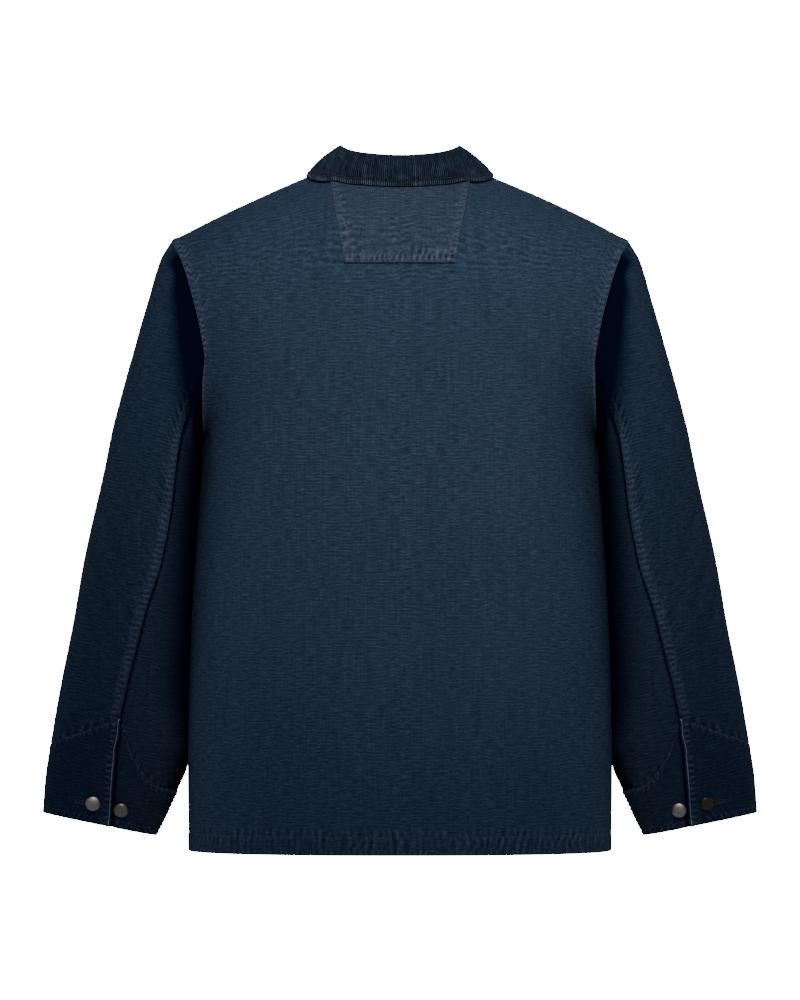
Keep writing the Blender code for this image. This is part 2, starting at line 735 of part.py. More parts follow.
def button_mesh():
    """A domed metal button, turned about +Z, with its foot at 0."""
    profile = [
        (0.0, 0.0),
        (BUTTON_RADIUS * 0.9, 0.0),
        (BUTTON_RADIUS, BUTTON_RIM * 0.4),
        (BUTTON_RADIUS, BUTTON_RIM * 0.8),
        (BUTTON_RADIUS * 0.86, BUTTON_RIM * 1.2),
        (BUTTON_RADIUS * 0.5, BUTTON_DOME * 0.93),
        (0.0, BUTTON_DOME),
    ]
    mesh_maker = bmesh.new()
    verts = [mesh_maker.verts.new(Vector((r, 0, z)) * MM) for r, z in profile]
    edges = [mesh_maker.edges.new(pair) for pair in zip(verts, verts[1:])]
    bmesh.ops.spin(mesh_maker, geom=verts + edges, cent=(0, 0, 0), axis=(0, 0, 1),
                   angle=math.tau, steps=BUTTON_SEGMENTS, use_merge=True)
    bmesh.ops.remove_doubles(mesh_maker, verts=mesh_maker.verts, dist=0.00001)
    bmesh.ops.recalc_face_normals(mesh_maker, faces=mesh_maker.faces)
    return mesh_maker


def button_object(name, point, out, material, parent):
    place = Matrix.Translation((point + out * BUTTON_GAP) * MM)
    turn = Vector((0, 0, 1)).rotation_difference(out).to_matrix().to_4x4()
    return finished_object(name, button_mesh(), material, parent, place @ turn)


def front_buttons(material, parent):
    for number, z in enumerate(FRONT_BUTTON_Z, 1):
        if z < UNDERARM_Z:
            point, out = ring_point(z, -1, 0.0), Vector((0, -1, 0))
        else:
            height = find(lambda h: upper_point(-1, 0.0, h).z, z, 0.0, 1.0)
            point = upper_point(-1, 0.0, height)
            slope = (upper_point(-1, 0.0, height - 0.02) - point).normalized()
            out = slope.cross(Vector((1, 0, 0))).normalized()
            out = out if out.y < 0 else -out
        button_object(f"button_front_{number}", point, out, material, parent)


def cuff_buttons(label, sign, material, parent):
    for number, past, height in CUFF_BUTTONS:
        drop = SLEEVE_LENGTH - height
        angle = BACK_SEAM.at(drop).angle + past
        point = sleeve_point(drop, angle)
        across = sleeve_point(drop, angle + 3) - point
        out = across.cross(sleeve_point(drop - 5, angle) - point).normalized()
        out = out if out.y > 0 else -out
        if past > 0:
            point -= out * vent_depth(past) * 0.5
        if sign < 0:
            point, out = mirrored(point), mirrored(out)
        button_object(f"button_cuff_{label}_{number}", point, out, material, parent)


# ---- materials and the whole jacket


def finish(name, colour, roughness, metallic=0.0):
    material = bpy.data.materials.new(name)
    material.use_nodes = True
    shader = material.node_tree.nodes["Principled BSDF"]
    shader.inputs["Base Color"].default_value = (*colour, 1.0)
    shader.inputs["Roughness"].default_value = roughness
    shader.inputs["Metallic"].default_value = metallic
    material.diffuse_color = (*colour, 1.0)
    return material


def mirrored_panel(panel, name):
    """The same piece for the other arm."""
    copy = Panel(name, [[mirrored(p) for p in row] for row in panel.grid],
                 lambda p: mirrored(sleeve_outward(mirrored(p))), panel.wall)
    copy.inward = [[mirrored(v) for v in row] for row in panel.inward]
    return copy


def sew_jacket(back, front_left, front_right, arm):
    """Join the panels along their shared seams, on the left and so on both sides."""
    lower = len(lower_heights())
    under, top = arm["under_sleeve"], arm["top_sleeve"]
    back_armhole = back.edge("last_column", lower - 1)
    split = ARMHOLE_STEPS["under_back"]
    sew(back, back_armhole[: split + 1], under, under.edge("first_row")[::-1])
    upper = ARMHOLE_STEPS["upper_back"]
    sew(back, back_armhole[split:], top, top.edge("first_row", 0, upper + 1))
    front_armhole = front_left.edge("last_column", lower - 1)
    sew(front_left, front_armhole, top, top.edge("first_row", upper)[::-1])
    sew(top, top.edge("first_column"), under, under.edge("first_column"))
    sew(top, top.edge("last_column"), under, under.edge("last_column"))
    flap, tongue = arm["cuff_top"], arm["cuff_under"]
    sew(flap, flap.edge("last_column"), tongue, tongue.edge("last_column"))
    sew(back, back.edge("last_column", 0, lower), front_left, front_left.edge("last_column", 0, lower))
    shoulder = SHOULDER_COLUMNS + 1
    sew(back, back.edge("last_row")[-shoulder:], front_left, front_left.edge("last_row")[-shoulder:])
    tip = sum((p.normals[r][c] for p, r, c in ((back, -1, -1), (front_left, -1, -1), (top, 0, upper))),
              Vector()).normalized() * -CANVAS_WALL * TIP_MITRE
    back.inward[-1][-1] = front_left.inward[-1][-1] = top.inward[0][upper] = tip
    half = back.columns // 2
    for r in range(back.rows):
        for c in range(half):
            back.inward[r][c] = mirrored(back.inward[r][-1 - c])
    for r in range(front_left.rows):
        for c in range(FRONT_NECK_COLUMNS + 2, front_left.columns):
            front_right.inward[r][c] = mirrored(front_left.inward[r][c])


def main():
    for obj in list(bpy.data.objects):
        bpy.data.objects.remove(obj, do_unlink=True)
    canvas = finish("navy_canvas", (0.023, 0.041, 0.066), 0.85)
    faded = finish("faded_canvas", (0.030, 0.046, 0.072), 0.88)
    corduroy = finish("navy_corduroy", (0.016, 0.030, 0.050), 0.95)
    metal = finish("gunmetal", (0.09, 0.10, 0.11), 0.45, 0.9)
    root = bpy.data.objects.new("jacket", None)
    bpy.context.scene.collection.objects.link(root)

    back = back_panel()
    front_left, front_right = front_panel("front_left", 1), front_panel("front_right", -1)
    arm = sleeve_panels()
    sew_jacket(back, front_left, front_right, arm)
    for panel in (back, front_left, front_right):
        wall_object(panel, canvas, root)
    for kind, panel in arm.items():
        panel.name = f"{kind}_left"
        wall_object(panel, canvas, root)
        wall_object(mirrored_panel(panel, f"{kind}_right"), canvas, root)
    collar_object(corduroy, root)
    back_patch(faded, root)
    pocket("pocket_left", 1, canvas, root)
    pocket("pocket_right", -1, canvas, root)
    front_buttons(metal, root)
    for label, sign in (("left", 1), ("right", -1)):
        cuff_buttons(label, sign, metal, root)


main()
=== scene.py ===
"""Dress the chore jacket: cloth, corduroy, stitching, buttons, studio and camera.

Sizes are in millimetres and become metres where a mesh is made. +Z is up, the wearer
faces -Y, and +X is the wearer's left. Each piece of cloth is a thin shell on the outer
form of its solid. Its grid of points goes row by row; "across" is the distance along a
row and "along" the distance down the columns, both as cut, before the garment was sewn.

Angles on a sleeve and on an armhole go round the arm: 0 outer or top, 90 back, 180
inner or under, -90 front.
"""

from __future__ import annotations

import logging
import math
from dataclasses import dataclass, field
from enum import Enum
from typing import Callable, Iterable, Sequence

import bpy
import numpy as np
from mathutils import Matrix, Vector


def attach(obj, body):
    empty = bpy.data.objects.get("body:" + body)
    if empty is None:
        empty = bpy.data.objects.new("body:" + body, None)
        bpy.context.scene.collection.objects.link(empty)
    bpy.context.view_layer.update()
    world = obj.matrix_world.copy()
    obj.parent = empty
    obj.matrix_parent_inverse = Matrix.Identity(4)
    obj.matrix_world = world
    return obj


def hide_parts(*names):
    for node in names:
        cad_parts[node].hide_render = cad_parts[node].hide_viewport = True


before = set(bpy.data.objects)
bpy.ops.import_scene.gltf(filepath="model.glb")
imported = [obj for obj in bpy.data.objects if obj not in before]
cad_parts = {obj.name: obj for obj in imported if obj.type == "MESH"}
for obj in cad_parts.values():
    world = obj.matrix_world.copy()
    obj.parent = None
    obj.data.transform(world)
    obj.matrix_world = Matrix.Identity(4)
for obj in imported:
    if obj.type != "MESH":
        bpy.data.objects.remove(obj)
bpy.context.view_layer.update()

log = logging.getLogger("jacket")
MM = 0.001
BODY = "root"

Grid = np.ndarray  # points, (rows, columns, 3)
Field = np.ndarray  # one number for each point, (rows, columns)


# ---- curves


def ease(t: np.ndarray | float) -> np.ndarray:
    """Return a smooth step from 0 to 1."""
    t = np.clip(t, 0.0, 1.0)
    return t * t * (3 - 2 * t)


def bell(distance: np.ndarray, width: float | np.ndarray, power: float = 2) -> np.ndarray:
    """Return 1 at no distance, falling to nothing past the width; a higher power is squarer."""
    return np.exp(-((distance / width) ** power))


def hermite(start: np.ndarray, leaving: np.ndarray, end: np.ndarray, arriving: np.ndarray,
            t: np.ndarray) -> np.ndarray:
    """Return the cubic from start to end with the slopes it leaves and arrives with.

    Args:
        start: Value at t = 0.
        leaving: Slope at t = 0.
        end: Value at t = 1.
        arriving: Slope at t = 1.
        t: Place on the cubic, from 0 to 1.

    Returns:
        The value at t.
    """
    u = 1 - t
    return (start * (1 + 2 * t) * u * u + leaving * t * u * u
            + end * (3 - 2 * t) * t * t - arriving * t * t * u)


def monotone(xs: np.ndarray, ys: np.ndarray, x: np.ndarray) -> np.ndarray:
    """Return a cubic through points that doesn't overshoot them.

    Args:
        xs: Rising places of the points.
        ys: Values of the points.
        x: Where to read the cubic.

    Returns:
        The values at x.
    """
    steps = np.diff(ys) / np.diff(xs)
    before, after = steps[:-1], steps[1:]
    same_way = before * after > 0
    total = np.where(same_way, before + after, 1.0)
    inner = np.where(same_way, 2 * before * after / total, 0.0)
    slopes = np.concatenate([steps[:1], inner, steps[-1:]])
    i = np.clip(np.searchsorted(xs, x, side="right") - 1, 0, len(xs) - 2)
    width = xs[i + 1] - xs[i]
    t = np.clip((x - xs[i]) / width, 0.0, 1.0)
    return hermite(ys[i], slopes[i] * width, ys[i + 1], slopes[i + 1] * width, t)


def rounded(angle: np.ndarray, power: float) -> tuple[np.ndarray, np.ndarray]:
    """Return cosine and sine of angles in degrees, squared up by a superellipse's power."""
    c, s = np.cos(np.radians(angle)), np.sin(np.radians(angle))
    return (np.sign(c) * np.abs(c) ** (2 / power), np.sign(s) * np.abs(s) ** (2 / power))


def stack(x: np.ndarray, y: np.ndarray, z: np.ndarray) -> np.ndarray:
    """Return points from their coordinates, which are broadcast together."""
    return np.stack(np.broadcast_arrays(x, y, z), axis=-1).astype(float)


def unit(vectors: np.ndarray) -> np.ndarray:
    """Return the vectors at length 1."""
    return vectors / np.maximum(np.linalg.norm(vectors, axis=-1, keepdims=True), 1e-9)


def spline(points: Grid, at: np.ndarray) -> Grid:
    """Return a grid's columns at fractional column numbers, along smooth curves.

    Args:
        points: The grid.
        at: Column numbers, with parts of a column.

    Returns:
        The grid at those columns.
    """
    last = points.shape[1] - 1
    i = np.clip(np.floor(at).astype(int), 0, last - 1)
    before, after = points[:, np.maximum(i - 1, 0)], points[:, np.minimum(i + 2, last)]
    start, end = points[:, i], points[:, i + 1]
    return hermite(start, (end - before) / 2, end, (after - start) / 2, (at - i)[None, :, None])


def mirrored(points: np.ndarray) -> np.ndarray:
    """Return the points on the other side of the centre plane."""
    return points * np.array([-1.0, 1.0, 1.0])


def graded(length: float, fine: float, coarse: float, dense: Sequence[tuple[float, float]],
           blend: float = 18.0) -> np.ndarray:
    """Return places from 0 to 1 that lie closer together near some stretches.

    Args:
        length: Real length of the whole.
        fine: Spacing inside the dense stretches.
        coarse: Spacing far from them.
        dense: Stretches as (from, to), in the length's own unit.
        blend: How far a dense stretch still draws points together.

    Returns:
        The places, from 0 to 1.
    """
    at = np.linspace(0.0, length, 4000)
    gap = np.min([np.maximum(np.maximum(a - at, at - b), 0.0) for a, b in dense], axis=0)
    spacing = fine + (coarse - fine) * ease(gap / blend)
    count = np.concatenate([[0.0], np.cumsum(np.diff(at) / spacing[:-1])])
    steps = math.ceil(count[-1])
    return np.interp(np.linspace(0.0, count[-1], steps + 1), count, at) / length


class Table:
    """Rows with named columns, read between rows along a smooth curve."""

    def __init__(self, columns: str, *rows: tuple[float, ...]) -> None:
        """Keep the rows in the order of their first column, the key.

        Args:
            columns: The columns' names, the key's first.
            rows: A number for each column.
        """
        self.names = columns.split()[1:]
        data = np.array(sorted(rows), float)
        self.keys, self.values = data[:, 0], data[:, 1:].T

    def read(self, name: str, key: np.ndarray | float) -> np.ndarray:
        """Return one column at the keys, held level past the ends."""
        key = np.clip(key, self.keys[0], self.keys[-1])
        return monotone(self.keys, self.values[self.names.index(name)], key)


class Unevenness:
    """Smooth random waves, the same on each run."""

    def __init__(self, seed: int, size: int = 256) -> None:
        """Draw the numbers that the waves pass through."""
        self.numbers = np.random.default_rng(seed).uniform(-1.0, 1.0, (size, size))
        self.size = size

    def line(self, x: np.ndarray, row: int = 0) -> np.ndarray:
        """Return waves of about 1 a unit along a line, from -1 to 1.

        Args:
            x: Places on the line.
            row: Which of the lines.

        Returns:
            The waves at x.
        """
        low = np.floor(x).astype(int)
        t = ease(x - low)
        a, b = self.numbers[row, low % self.size], self.numbers[row, (low + 1) % self.size]
        return a + (b - a) * t

    def sheet(self, x: np.ndarray, y: np.ndarray) -> np.ndarray:
        """Return waves of about 1 a unit over a surface, from -1 to 1.

        Args:
            x: Places one way.
            y: Places the other way.

        Returns:
            The waves there.
        """
        i, j = np.floor(x).astype(int), np.floor(y).astype(int)
        t, u = ease(x - i), ease(y - j)
        n, size = self.numbers, self.size
        near = n[i % size, j % size] * (1 - t) + n[(i + 1) % size, j % size] * t
        far = n[i % size, (j + 1) % size] * (1 - t) + n[(i + 1) % size, (j + 1) % size] * t
        return near * (1 - u) + far * u


# ---- the jacket's form


class Side(Enum):
    """The two halves of the body, by the sign of their Y."""

    BACK = 1
    FRONT = -1


SHOULDER_END_Z = -79.0
BODY_SIZES = Table(
    "z half_width back front",
    (-728.5, 226.0, 133.0, 128.0),
    (-639.0, 227.0, 133.5, 128.5),
    (-507.0, 224.0, 132.0, 127.5),
    (-383.0, 217.0, 129.0, 126.0),
    (-290.0, 209.0, 125.0, 123.0),
)
ARMHOLE_X = Table(
    "z x",
    (-290.0, 209.0),
    (-250.0, 206.5),
    (-219.0, 206.0),
    (-180.0, 211.5),
    (-136.0, 222.0),
    (-98.0, 234.5),
    (-79.0, 245.0),
)
LEANS = {  # how each panel meets the neck and the shoulder seam: the way up to the seam
    Side.BACK: Table("place y z length", (0.0, -0.55, 0.84, 280.0), (0.19, -0.76, 0.65, 310.0),
                     (0.38, -0.95, 0.31, 350.0), (0.70, -0.95, 0.31, 370.0), (1.0, -1.0, 0.10, 340.0)),
    Side.FRONT: Table("place y z length", (0.0, 0.35, 0.94, 220.0), (0.21, 0.62, 0.78, 270.0),
                      (0.42, 0.88, 0.47, 330.0), (0.70, 0.93, 0.36, 350.0), (1.0, 1.0, 0.10, 330.0)),
}


@dataclass(frozen=True)
class BodyForm:
    """The outer form of the body, open at the neck, the armholes and the hem."""

    underarm_z: float = -290.0
    hem_z: float = -728.5
    power: float = 2.3  # how square the body is in plan; 2 is an ellipse
    neck_half_width: float = 78.0
    neck_side_y: float = 5.0
    neck_back: tuple[float, float, float] = (66.0, -17.0, 1.15)  # y, z and how fast it dips
    neck_front: tuple[float, float, float] = (-80.0, -85.0, 1.5)
    neck_part: dict[Side, float] = field(
        default_factory=lambda: {Side.BACK: 0.38, Side.FRONT: 0.42})
    tip: tuple[float, float, float] = (245.0, -5.0, SHOULDER_END_Z)  # the shoulder's end
    shoulder_bow: float = 3.4
    armhole_reach: tuple[float, float] = (72.0, 84.0)  # back and front
    rise: float = 230.0  # how straight a panel leaves the underarm line
    pull: tuple[float, float] = (3.0, 12.0)  # at the shoulder, and more at the underarm

    def ring(self, z: np.ndarray, side: Side, places: np.ndarray) -> Grid:
        """Return points below the armholes.

        Args:
            z: Heights, one for each row.
            side: The back or the front.
            places: From the centre (0) to the side seam (1), past 0 on the other half.

        Returns:
            A row of points for each height.
        """
        angles = np.linspace(90.0, 0.0, 400)
        c, s = rounded(angles, self.power)
        half = BODY_SIZES.read("half_width", z)
        depth = BODY_SIZES.read("back" if side is Side.BACK else "front", z)
        rows = []
        for width, deep, height in zip(half, depth, z):
            x, y = width * c, side.value * deep * s
            lengths = np.concatenate([[0.0], np.cumsum(np.hypot(np.diff(x), np.diff(y)))])
            wanted = np.abs(places) * lengths[-1]
            row = stack(np.interp(wanted, lengths, x), np.interp(wanted, lengths, y), height)
            row[:, 0] *= np.where(places < 0, -1.0, 1.0)
            rows.append(row)
        return np.array(rows)

    def neck(self, side: Side, part: np.ndarray) -> np.ndarray:
        """Return points of the neck seam, from the centre (0) to the shoulder seam (1).

        Args:
            side: The back or the front.
            part: Parts of the seam.

        Returns:
            The points.
        """
        y, z, dip = self.neck_back if side is Side.BACK else self.neck_front
        angle = np.pi / 2 * np.asarray(part, float)
        cosine = np.maximum(np.cos(angle), 0.0)
        return stack(self.neck_half_width * np.sin(angle),
                     self.neck_side_y + (y - self.neck_side_y) * cosine, z * cosine**dip)

    def top(self, side: Side, places: np.ndarray) -> np.ndarray:
        """Return the top of a panel: the neck seam, then the shoulder seam out to its tip.

        Args:
            side: The back or the front.
            places: From the centre (0) to the armhole or side seam (1).

        Returns:
            The points.
        """
        neck = self.neck_part[side]
        on_neck = self.neck(side, np.clip(places / neck, 0.0, 1.0))
        share = np.clip((places - neck) / (1 - neck), 0.0, 1.0)[..., None]
        start = self.neck(side, 1.0)
        arch = self.shoulder_bow * np.sin(np.pi * share**1.4) * np.array([0.0, 0.0, 1.0])
        on_shoulder = start + (np.array(self.tip) - start) * share + arch
        return np.where((places <= neck)[..., None], on_neck, on_shoulder)

    def armhole(self, angle: np.ndarray) -> np.ndarray:
        """Return points of the armhole seam at angles round it.

        Args:
            angle: Degrees round the armhole, above 0 at the back.

        Returns:
            The points.
        """
        low, high = self.underarm_z, self.tip[2]
        z = (low + high) / 2 + (high - low) / 2 * np.cos(np.radians(angle))
        centre = self.tip[1] * (z - low) / (high - low)
        reach = np.where(np.asarray(angle) > 0, *self.armhole_reach)
        return stack(ARMHOLE_X.read("x", z), centre + reach * np.sin(np.radians(angle)), z)

    def upper(self, side: Side, places: np.ndarray, heights: np.ndarray) -> np.ndarray:
        """Return points beside or above the armholes.

        Args:
            side: The back or the front.
            places: From the centre (0) to the armhole (1), past 0 on the other half.
            heights: From the underarm (0) to the seam at the top (1), broadcast with places.

        Returns:
            The points.
        """
        places, heights = np.broadcast_arrays(places, heights)
        other_half = places < 0
        places = np.abs(places)

        def column(at: np.ndarray) -> np.ndarray:
            """Return whole columns.

            Args:
                at: Places of the columns.

            Returns:
                Their points at the heights.
            """
            rows = self.ring(np.array([self.underarm_z, self.underarm_z - 10]), side, at.ravel())
            low, below = rows.reshape(2, *at.shape, 3)
            lean = LEANS[side]
            way = stack(0.0, lean.read("y", at), lean.read("z", at))
            arriving = way * lean.read("length", at)[..., None]
            leaving = (low - below) / 10 * self.rise
            return hermite(low, leaving, self.top(side, at), arriving, heights[..., None])

        edge = self.armhole(side.value * 180 * (1 - heights)) - column(np.ones_like(places))
        power = self.pull[0] + self.pull[1] * (1 - heights) ** 3
        points = column(places) + edge * (places**power)[..., None]
        points[..., 0] *= np.where(other_half, -1.0, 1.0)
        return points

    def beside(self, z: np.ndarray, y: np.ndarray, clearance: float) -> np.ndarray:
        """Return how far out something just clear of the body's side lies.

        Args:
            z: Heights.
            y: Places from front to back.
            clearance: The air between.

        Returns:
            The distances from the centre plane.
        """
        depth = np.where(y > 0, BODY_SIZES.read("back", z), BODY_SIZES.read("front", z))
        across = (1 - np.abs(y / depth) ** self.power) ** (1 / self.power)
        return BODY_SIZES.read("half_width", z) * across + clearance

    def nearest(self, side: Side, axes: tuple[int, int], first: np.ndarray,
                second: np.ndarray) -> tuple[np.ndarray, np.ndarray]:
        """Find the upper body's points where two coordinates have given values.

        Args:
            side: The back or the front.
            axes: The two coordinates' numbers, 0 for x, 1 for y and 2 for z.
            first: Wanted values of the first.
            second: Wanted values of the second, of the same shape.

        Returns:
            The points, and the outward directions there.
        """
        place, height, step = np.full(first.shape, 0.3), np.full(first.shape, 0.95), 0.004
        a, b = axes
        for _ in range(30):
            here = self.upper(side, place, height)
            by_place = (self.upper(side, place + step, height) - here) / step
            by_height = (here - self.upper(side, place, height - step)) / step
            da, db = first - here[..., a], second - here[..., b]
            det = by_place[..., a] * by_height[..., b] - by_height[..., a] * by_place[..., b]
            more_place = (da * by_height[..., b] - by_height[..., a] * db) / det
            more_height = (by_place[..., a] * db - da * by_place[..., b]) / det
            place = np.clip(place + np.clip(more_place, -0.1, 0.1), 0.0, 0.9)
            height = np.clip(height + np.clip(more_height, -0.1, 0.1), 0.3, 1.0)
        out = unit(np.cross(by_place, by_height))
        return here, out * np.where(out[..., 2:] > 0, 1.0, -1.0)


# slanted rings round the arm; drop is how far the outer edge lies below the shoulder's end
SLEEVE_SIZES = Table(
    "drop outer_x outer_z inner_z depth middle_y",
    *(
        (SHOULDER_END_Z - outer_z, outer_x, outer_z, inner_z, depth, middle_y)
        for outer_x, outer_z, inner_z, depth, middle_y in (
            (245.0, -79.0, -290.0, 78.0, -5.0),
            (256.5, -98.0, -292.0, 79.0, -5.0),
            (269.0, -141.0, -301.0, 81.0, -6.0),
            (282.0, -184.0, -314.0, 82.0, -8.0),
            (294.0, -227.0, -331.0, 82.0, -11.0),
            (305.5, -270.0, -352.0, 81.0, -15.0),
            (315.0, -312.0, -376.0, 79.0, -20.0),
            (325.0, -355.0, -403.0, 76.0, -25.0),
            (339.0, -419.0, -453.0, 69.0, -32.0),
            (350.5, -484.0, -513.0, 60.0, -37.0),
            (363.5, -548.0, -577.0, 50.0, -41.0),
            (375.0, -612.0, -641.0, 40.0, -44.0),
            (382.0, -655.0, -682.0, 33.0, -46.0),
            (384.5, -690.0, -715.0, 28.0, -47.0),
        )
    ),
)
# where the inner edge lies once it has left the body's side
CUFF_INNER = Table("z x", (-715.0, 262.0), (-690.0, 250.0), (-664.0, 238.0),
                   (-641.0, 228.5), (-620.0, 226.0))
BACK_SEAM = Table("drop angle", (0.0, 112.0), (230.0, 114.5), (310.0, 109.5), (385.0, 96.5),
                  (440.0, 90.5), (475.0, 88.0), (505.0, 86.5), (560.0, 91.0), (611.0, 98.5))
CUFF_LINE_TOP = Table("angle height", (-180.0, 50.0), (-90.0, 62.0), (-40.0, 68.0), (14.0, 75.0),
                      (39.0, 84.0), (57.0, 93.0), (70.0, 102.0), (88.0, 115.0))
CUFF_LINE_UNDER = Table("angle height", (84.0, 114.0), (89.5, 101.0), (95.0, 88.0), (101.0, 77.0),
                        (111.0, 65.0), (121.0, 57.0), (139.0, 51.0), (180.0, 50.0))
SLEEVE_WAY = np.array([0.225, 0.0, -0.974])  # down the sleeve, along the cloth's warp


def down_sleeve(points: Grid) -> Field:
    """Return how far down the left sleeve's warp points lie."""
    return points @ SLEEVE_WAY


def leaf_shadow(points: Grid) -> Field:
    """Return how deep points of the back lie in the painted shadow below the collar's leaf, from 0 to 1.

    Args:
        points: Points of the back or the patch.

    Returns:
        The depth, 0 outside the line.
    """
    line = -16.9 + 6.5 * (points[..., 0] / 100.0) ** 2
    inside = ease((points[..., 2] - line + 3.1) / 2.6) * ease((112.0 - np.abs(points[..., 0])) / 8.0)
    return inside * (points[..., 1] > 0)


def up_body(points: Grid) -> Field:
    """Return how far up the body's warp points lie, over the slope of the shoulders."""
    return points[..., 2] - 0.45 * ease((points[..., 2] + 130.0) / 90.0) * np.abs(points[..., 1])


@dataclass(frozen=True)
class SleeveForm:
    """The outer form of the left sleeve, from the armhole down to the cuff's edge."""

    body: BodyForm
    power: float = 2.25
    clearance: float = 0.1  # between the sleeve and the body's side
    head: float = 0.24  # the part that takes its shape from the armhole
    length: float = 611.0
    vent_top: float = 115.0  # above the cuff's edge

    def section(self, drop: np.ndarray, angle: np.ndarray) -> np.ndarray:
        """Return points of the slanted ring whose outer edge has come down by drop.

        Args:
            drop: How far down the ring's outer edge is.
            angle: Degrees round the arm.

        Returns:
            The points.
        """
        inner_z, middle_y = SLEEVE_SIZES.read("inner_z", drop), SLEEVE_SIZES.read("middle_y", drop)
        beside = self.body.beside(inner_z, middle_y, self.clearance)
        leaving = ease((CUFF_INNER.keys[-1] - inner_z) / 20)
        inner_x = beside + leaving * (CUFF_INNER.read("x", inner_z) - beside)
        outer = stack(SLEEVE_SIZES.read("outer_x", drop), middle_y, SLEEVE_SIZES.read("outer_z", drop))
        c, s = rounded(angle, self.power)
        inward = (stack(inner_x, middle_y, inner_z) - outer) * ((1 - c) / 2)[..., None]
        return outer + inward + stack(0.0, SLEEVE_SIZES.read("depth", drop) * s, 0.0)

    def at(self, drop: np.ndarray, angle: np.ndarray) -> np.ndarray:
        """Return points of the sleeve at drops and angles of the same shape.

        Args:
            drop: How far down the sleeve.
            angle: Degrees round the arm.

        Returns:
            The points, drawn in to the armhole at the head.
        """
        head = ease(1 - drop / self.length / self.head)[..., None]
        start = self.body.armhole(angle) - self.section(np.zeros_like(drop), angle)
        return self.section(drop, angle) + start * head

    def angle_at(self, drop: np.ndarray, part: np.ndarray, end: float) -> np.ndarray:
        """Return angles from the back seam (part 0) to the inseam (part 1)."""
        seam = BACK_SEAM.read("angle", drop)
        return seam + (end - seam) * part

    def cuff_seam(self, parts: np.ndarray, end: float, line: Table) -> np.ndarray:
        """Return the drops at which the cuff's shaped seam crosses the columns.

        Args:
            parts: Columns, from the back seam (0) to the inseam (1).
            end: The inseam's angle.
            line: The seam's heights above the cuff's edge.

        Returns:
            A drop for each column.
        """
        drop = np.full(parts.shape, self.length - self.vent_top)
        for _ in range(12):
            drop = self.length - line.read("height", self.angle_at(drop, parts, end))
        return drop


# ---- cloth


class Edge(Enum):
    """The four edges of a panel's grid."""

    FIRST_ROW = "first row"
    LAST_ROW = "last row"
    FIRST_COLUMN = "first column"
    LAST_COLUMN = "last column"


SIDE_EDGES = (Edge.FIRST_COLUMN, Edge.LAST_COLUMN)
SEWN_EDGES = (Edge.FIRST_ROW, *SIDE_EDGES)  # of the patch and the pockets
LEAF_EDGES = (Edge.LAST_ROW, *SIDE_EDGES)  # of the collar
MOST_WEAR_AND_LIGHT = 0.78  # rubbing and painted light make the cloth no paler than this
FOLD_ANGLES = (155.0, 115.0, 75.0, 35.0)  # round a folded edge, from the inside out


def travelled(points: Grid, axis: int) -> Field:
    """Return the distance along the grid's rows (axis 1) or columns (axis 0).

    Args:
        points: The grid.
        axis: 1 along the rows, 0 down the columns.

    Returns:
        The distance at each point, from 0.
    """
    steps = np.linalg.norm(np.diff(points, axis=axis), axis=-1)
    total = np.cumsum(steps, axis=axis)
    start = np.zeros_like(np.take(total, [0], axis=axis))
    return np.concatenate([start, total], axis=axis)


def grid_normals(points: Grid) -> Grid:
    """Return unit normals of a grid, along its columns crossed with along its rows."""
    return unit(np.cross(np.gradient(points, axis=0), np.gradient(points, axis=1)))


def softened(points: Grid, reach: float) -> Grid:
    """Return a grid evened out along its rows, except near its edges.

    Args:
        points: The grid.
        reach: How far each point draws on its neighbours.

    Returns:
        The evened grid.
    """
    across = travelled(points, 1).mean(axis=0)
    along = travelled(points, 0).mean(axis=1)
    weights = bell(across[:, None] - across[None, :], reach) * np.gradient(across)
    weights /= weights.sum(axis=1, keepdims=True)
    even = np.einsum("ij,rjk->rik", weights, points)
    hold = ease(np.minimum(across, across[-1] - across) / (3 * reach))[None, :]
    hold = hold * ease((along[-1] - along) / reach)[:, None]
    return points + (even - points) * hold[..., None]


@dataclass
class Turn:
    """An edge that is folded to the inside, as on a hem or a facing."""

    edge: Edge
    depth: float
    thickness: float
    rows: int = 5


@dataclass(frozen=True)
class Work:
    """What sewing does to the cloth beside an edge, by distances from the edge."""

    bands: tuple[tuple[float, ...], ...] = ()  # layers: from, to, rise and softness
    grooves: tuple[tuple[float, ...], ...] = ()  # stitched lines: at, depth and width
    puckers: tuple[tuple[float, ...], ...] = ()  # waves: middle, reach, pitch, depth, seed and slant
    ridges: tuple[tuple[float, ...], ...] = ()  # rubbed ridges: middle, reach and strength
    roll: float = 0.0  # how far the edge is rounded off


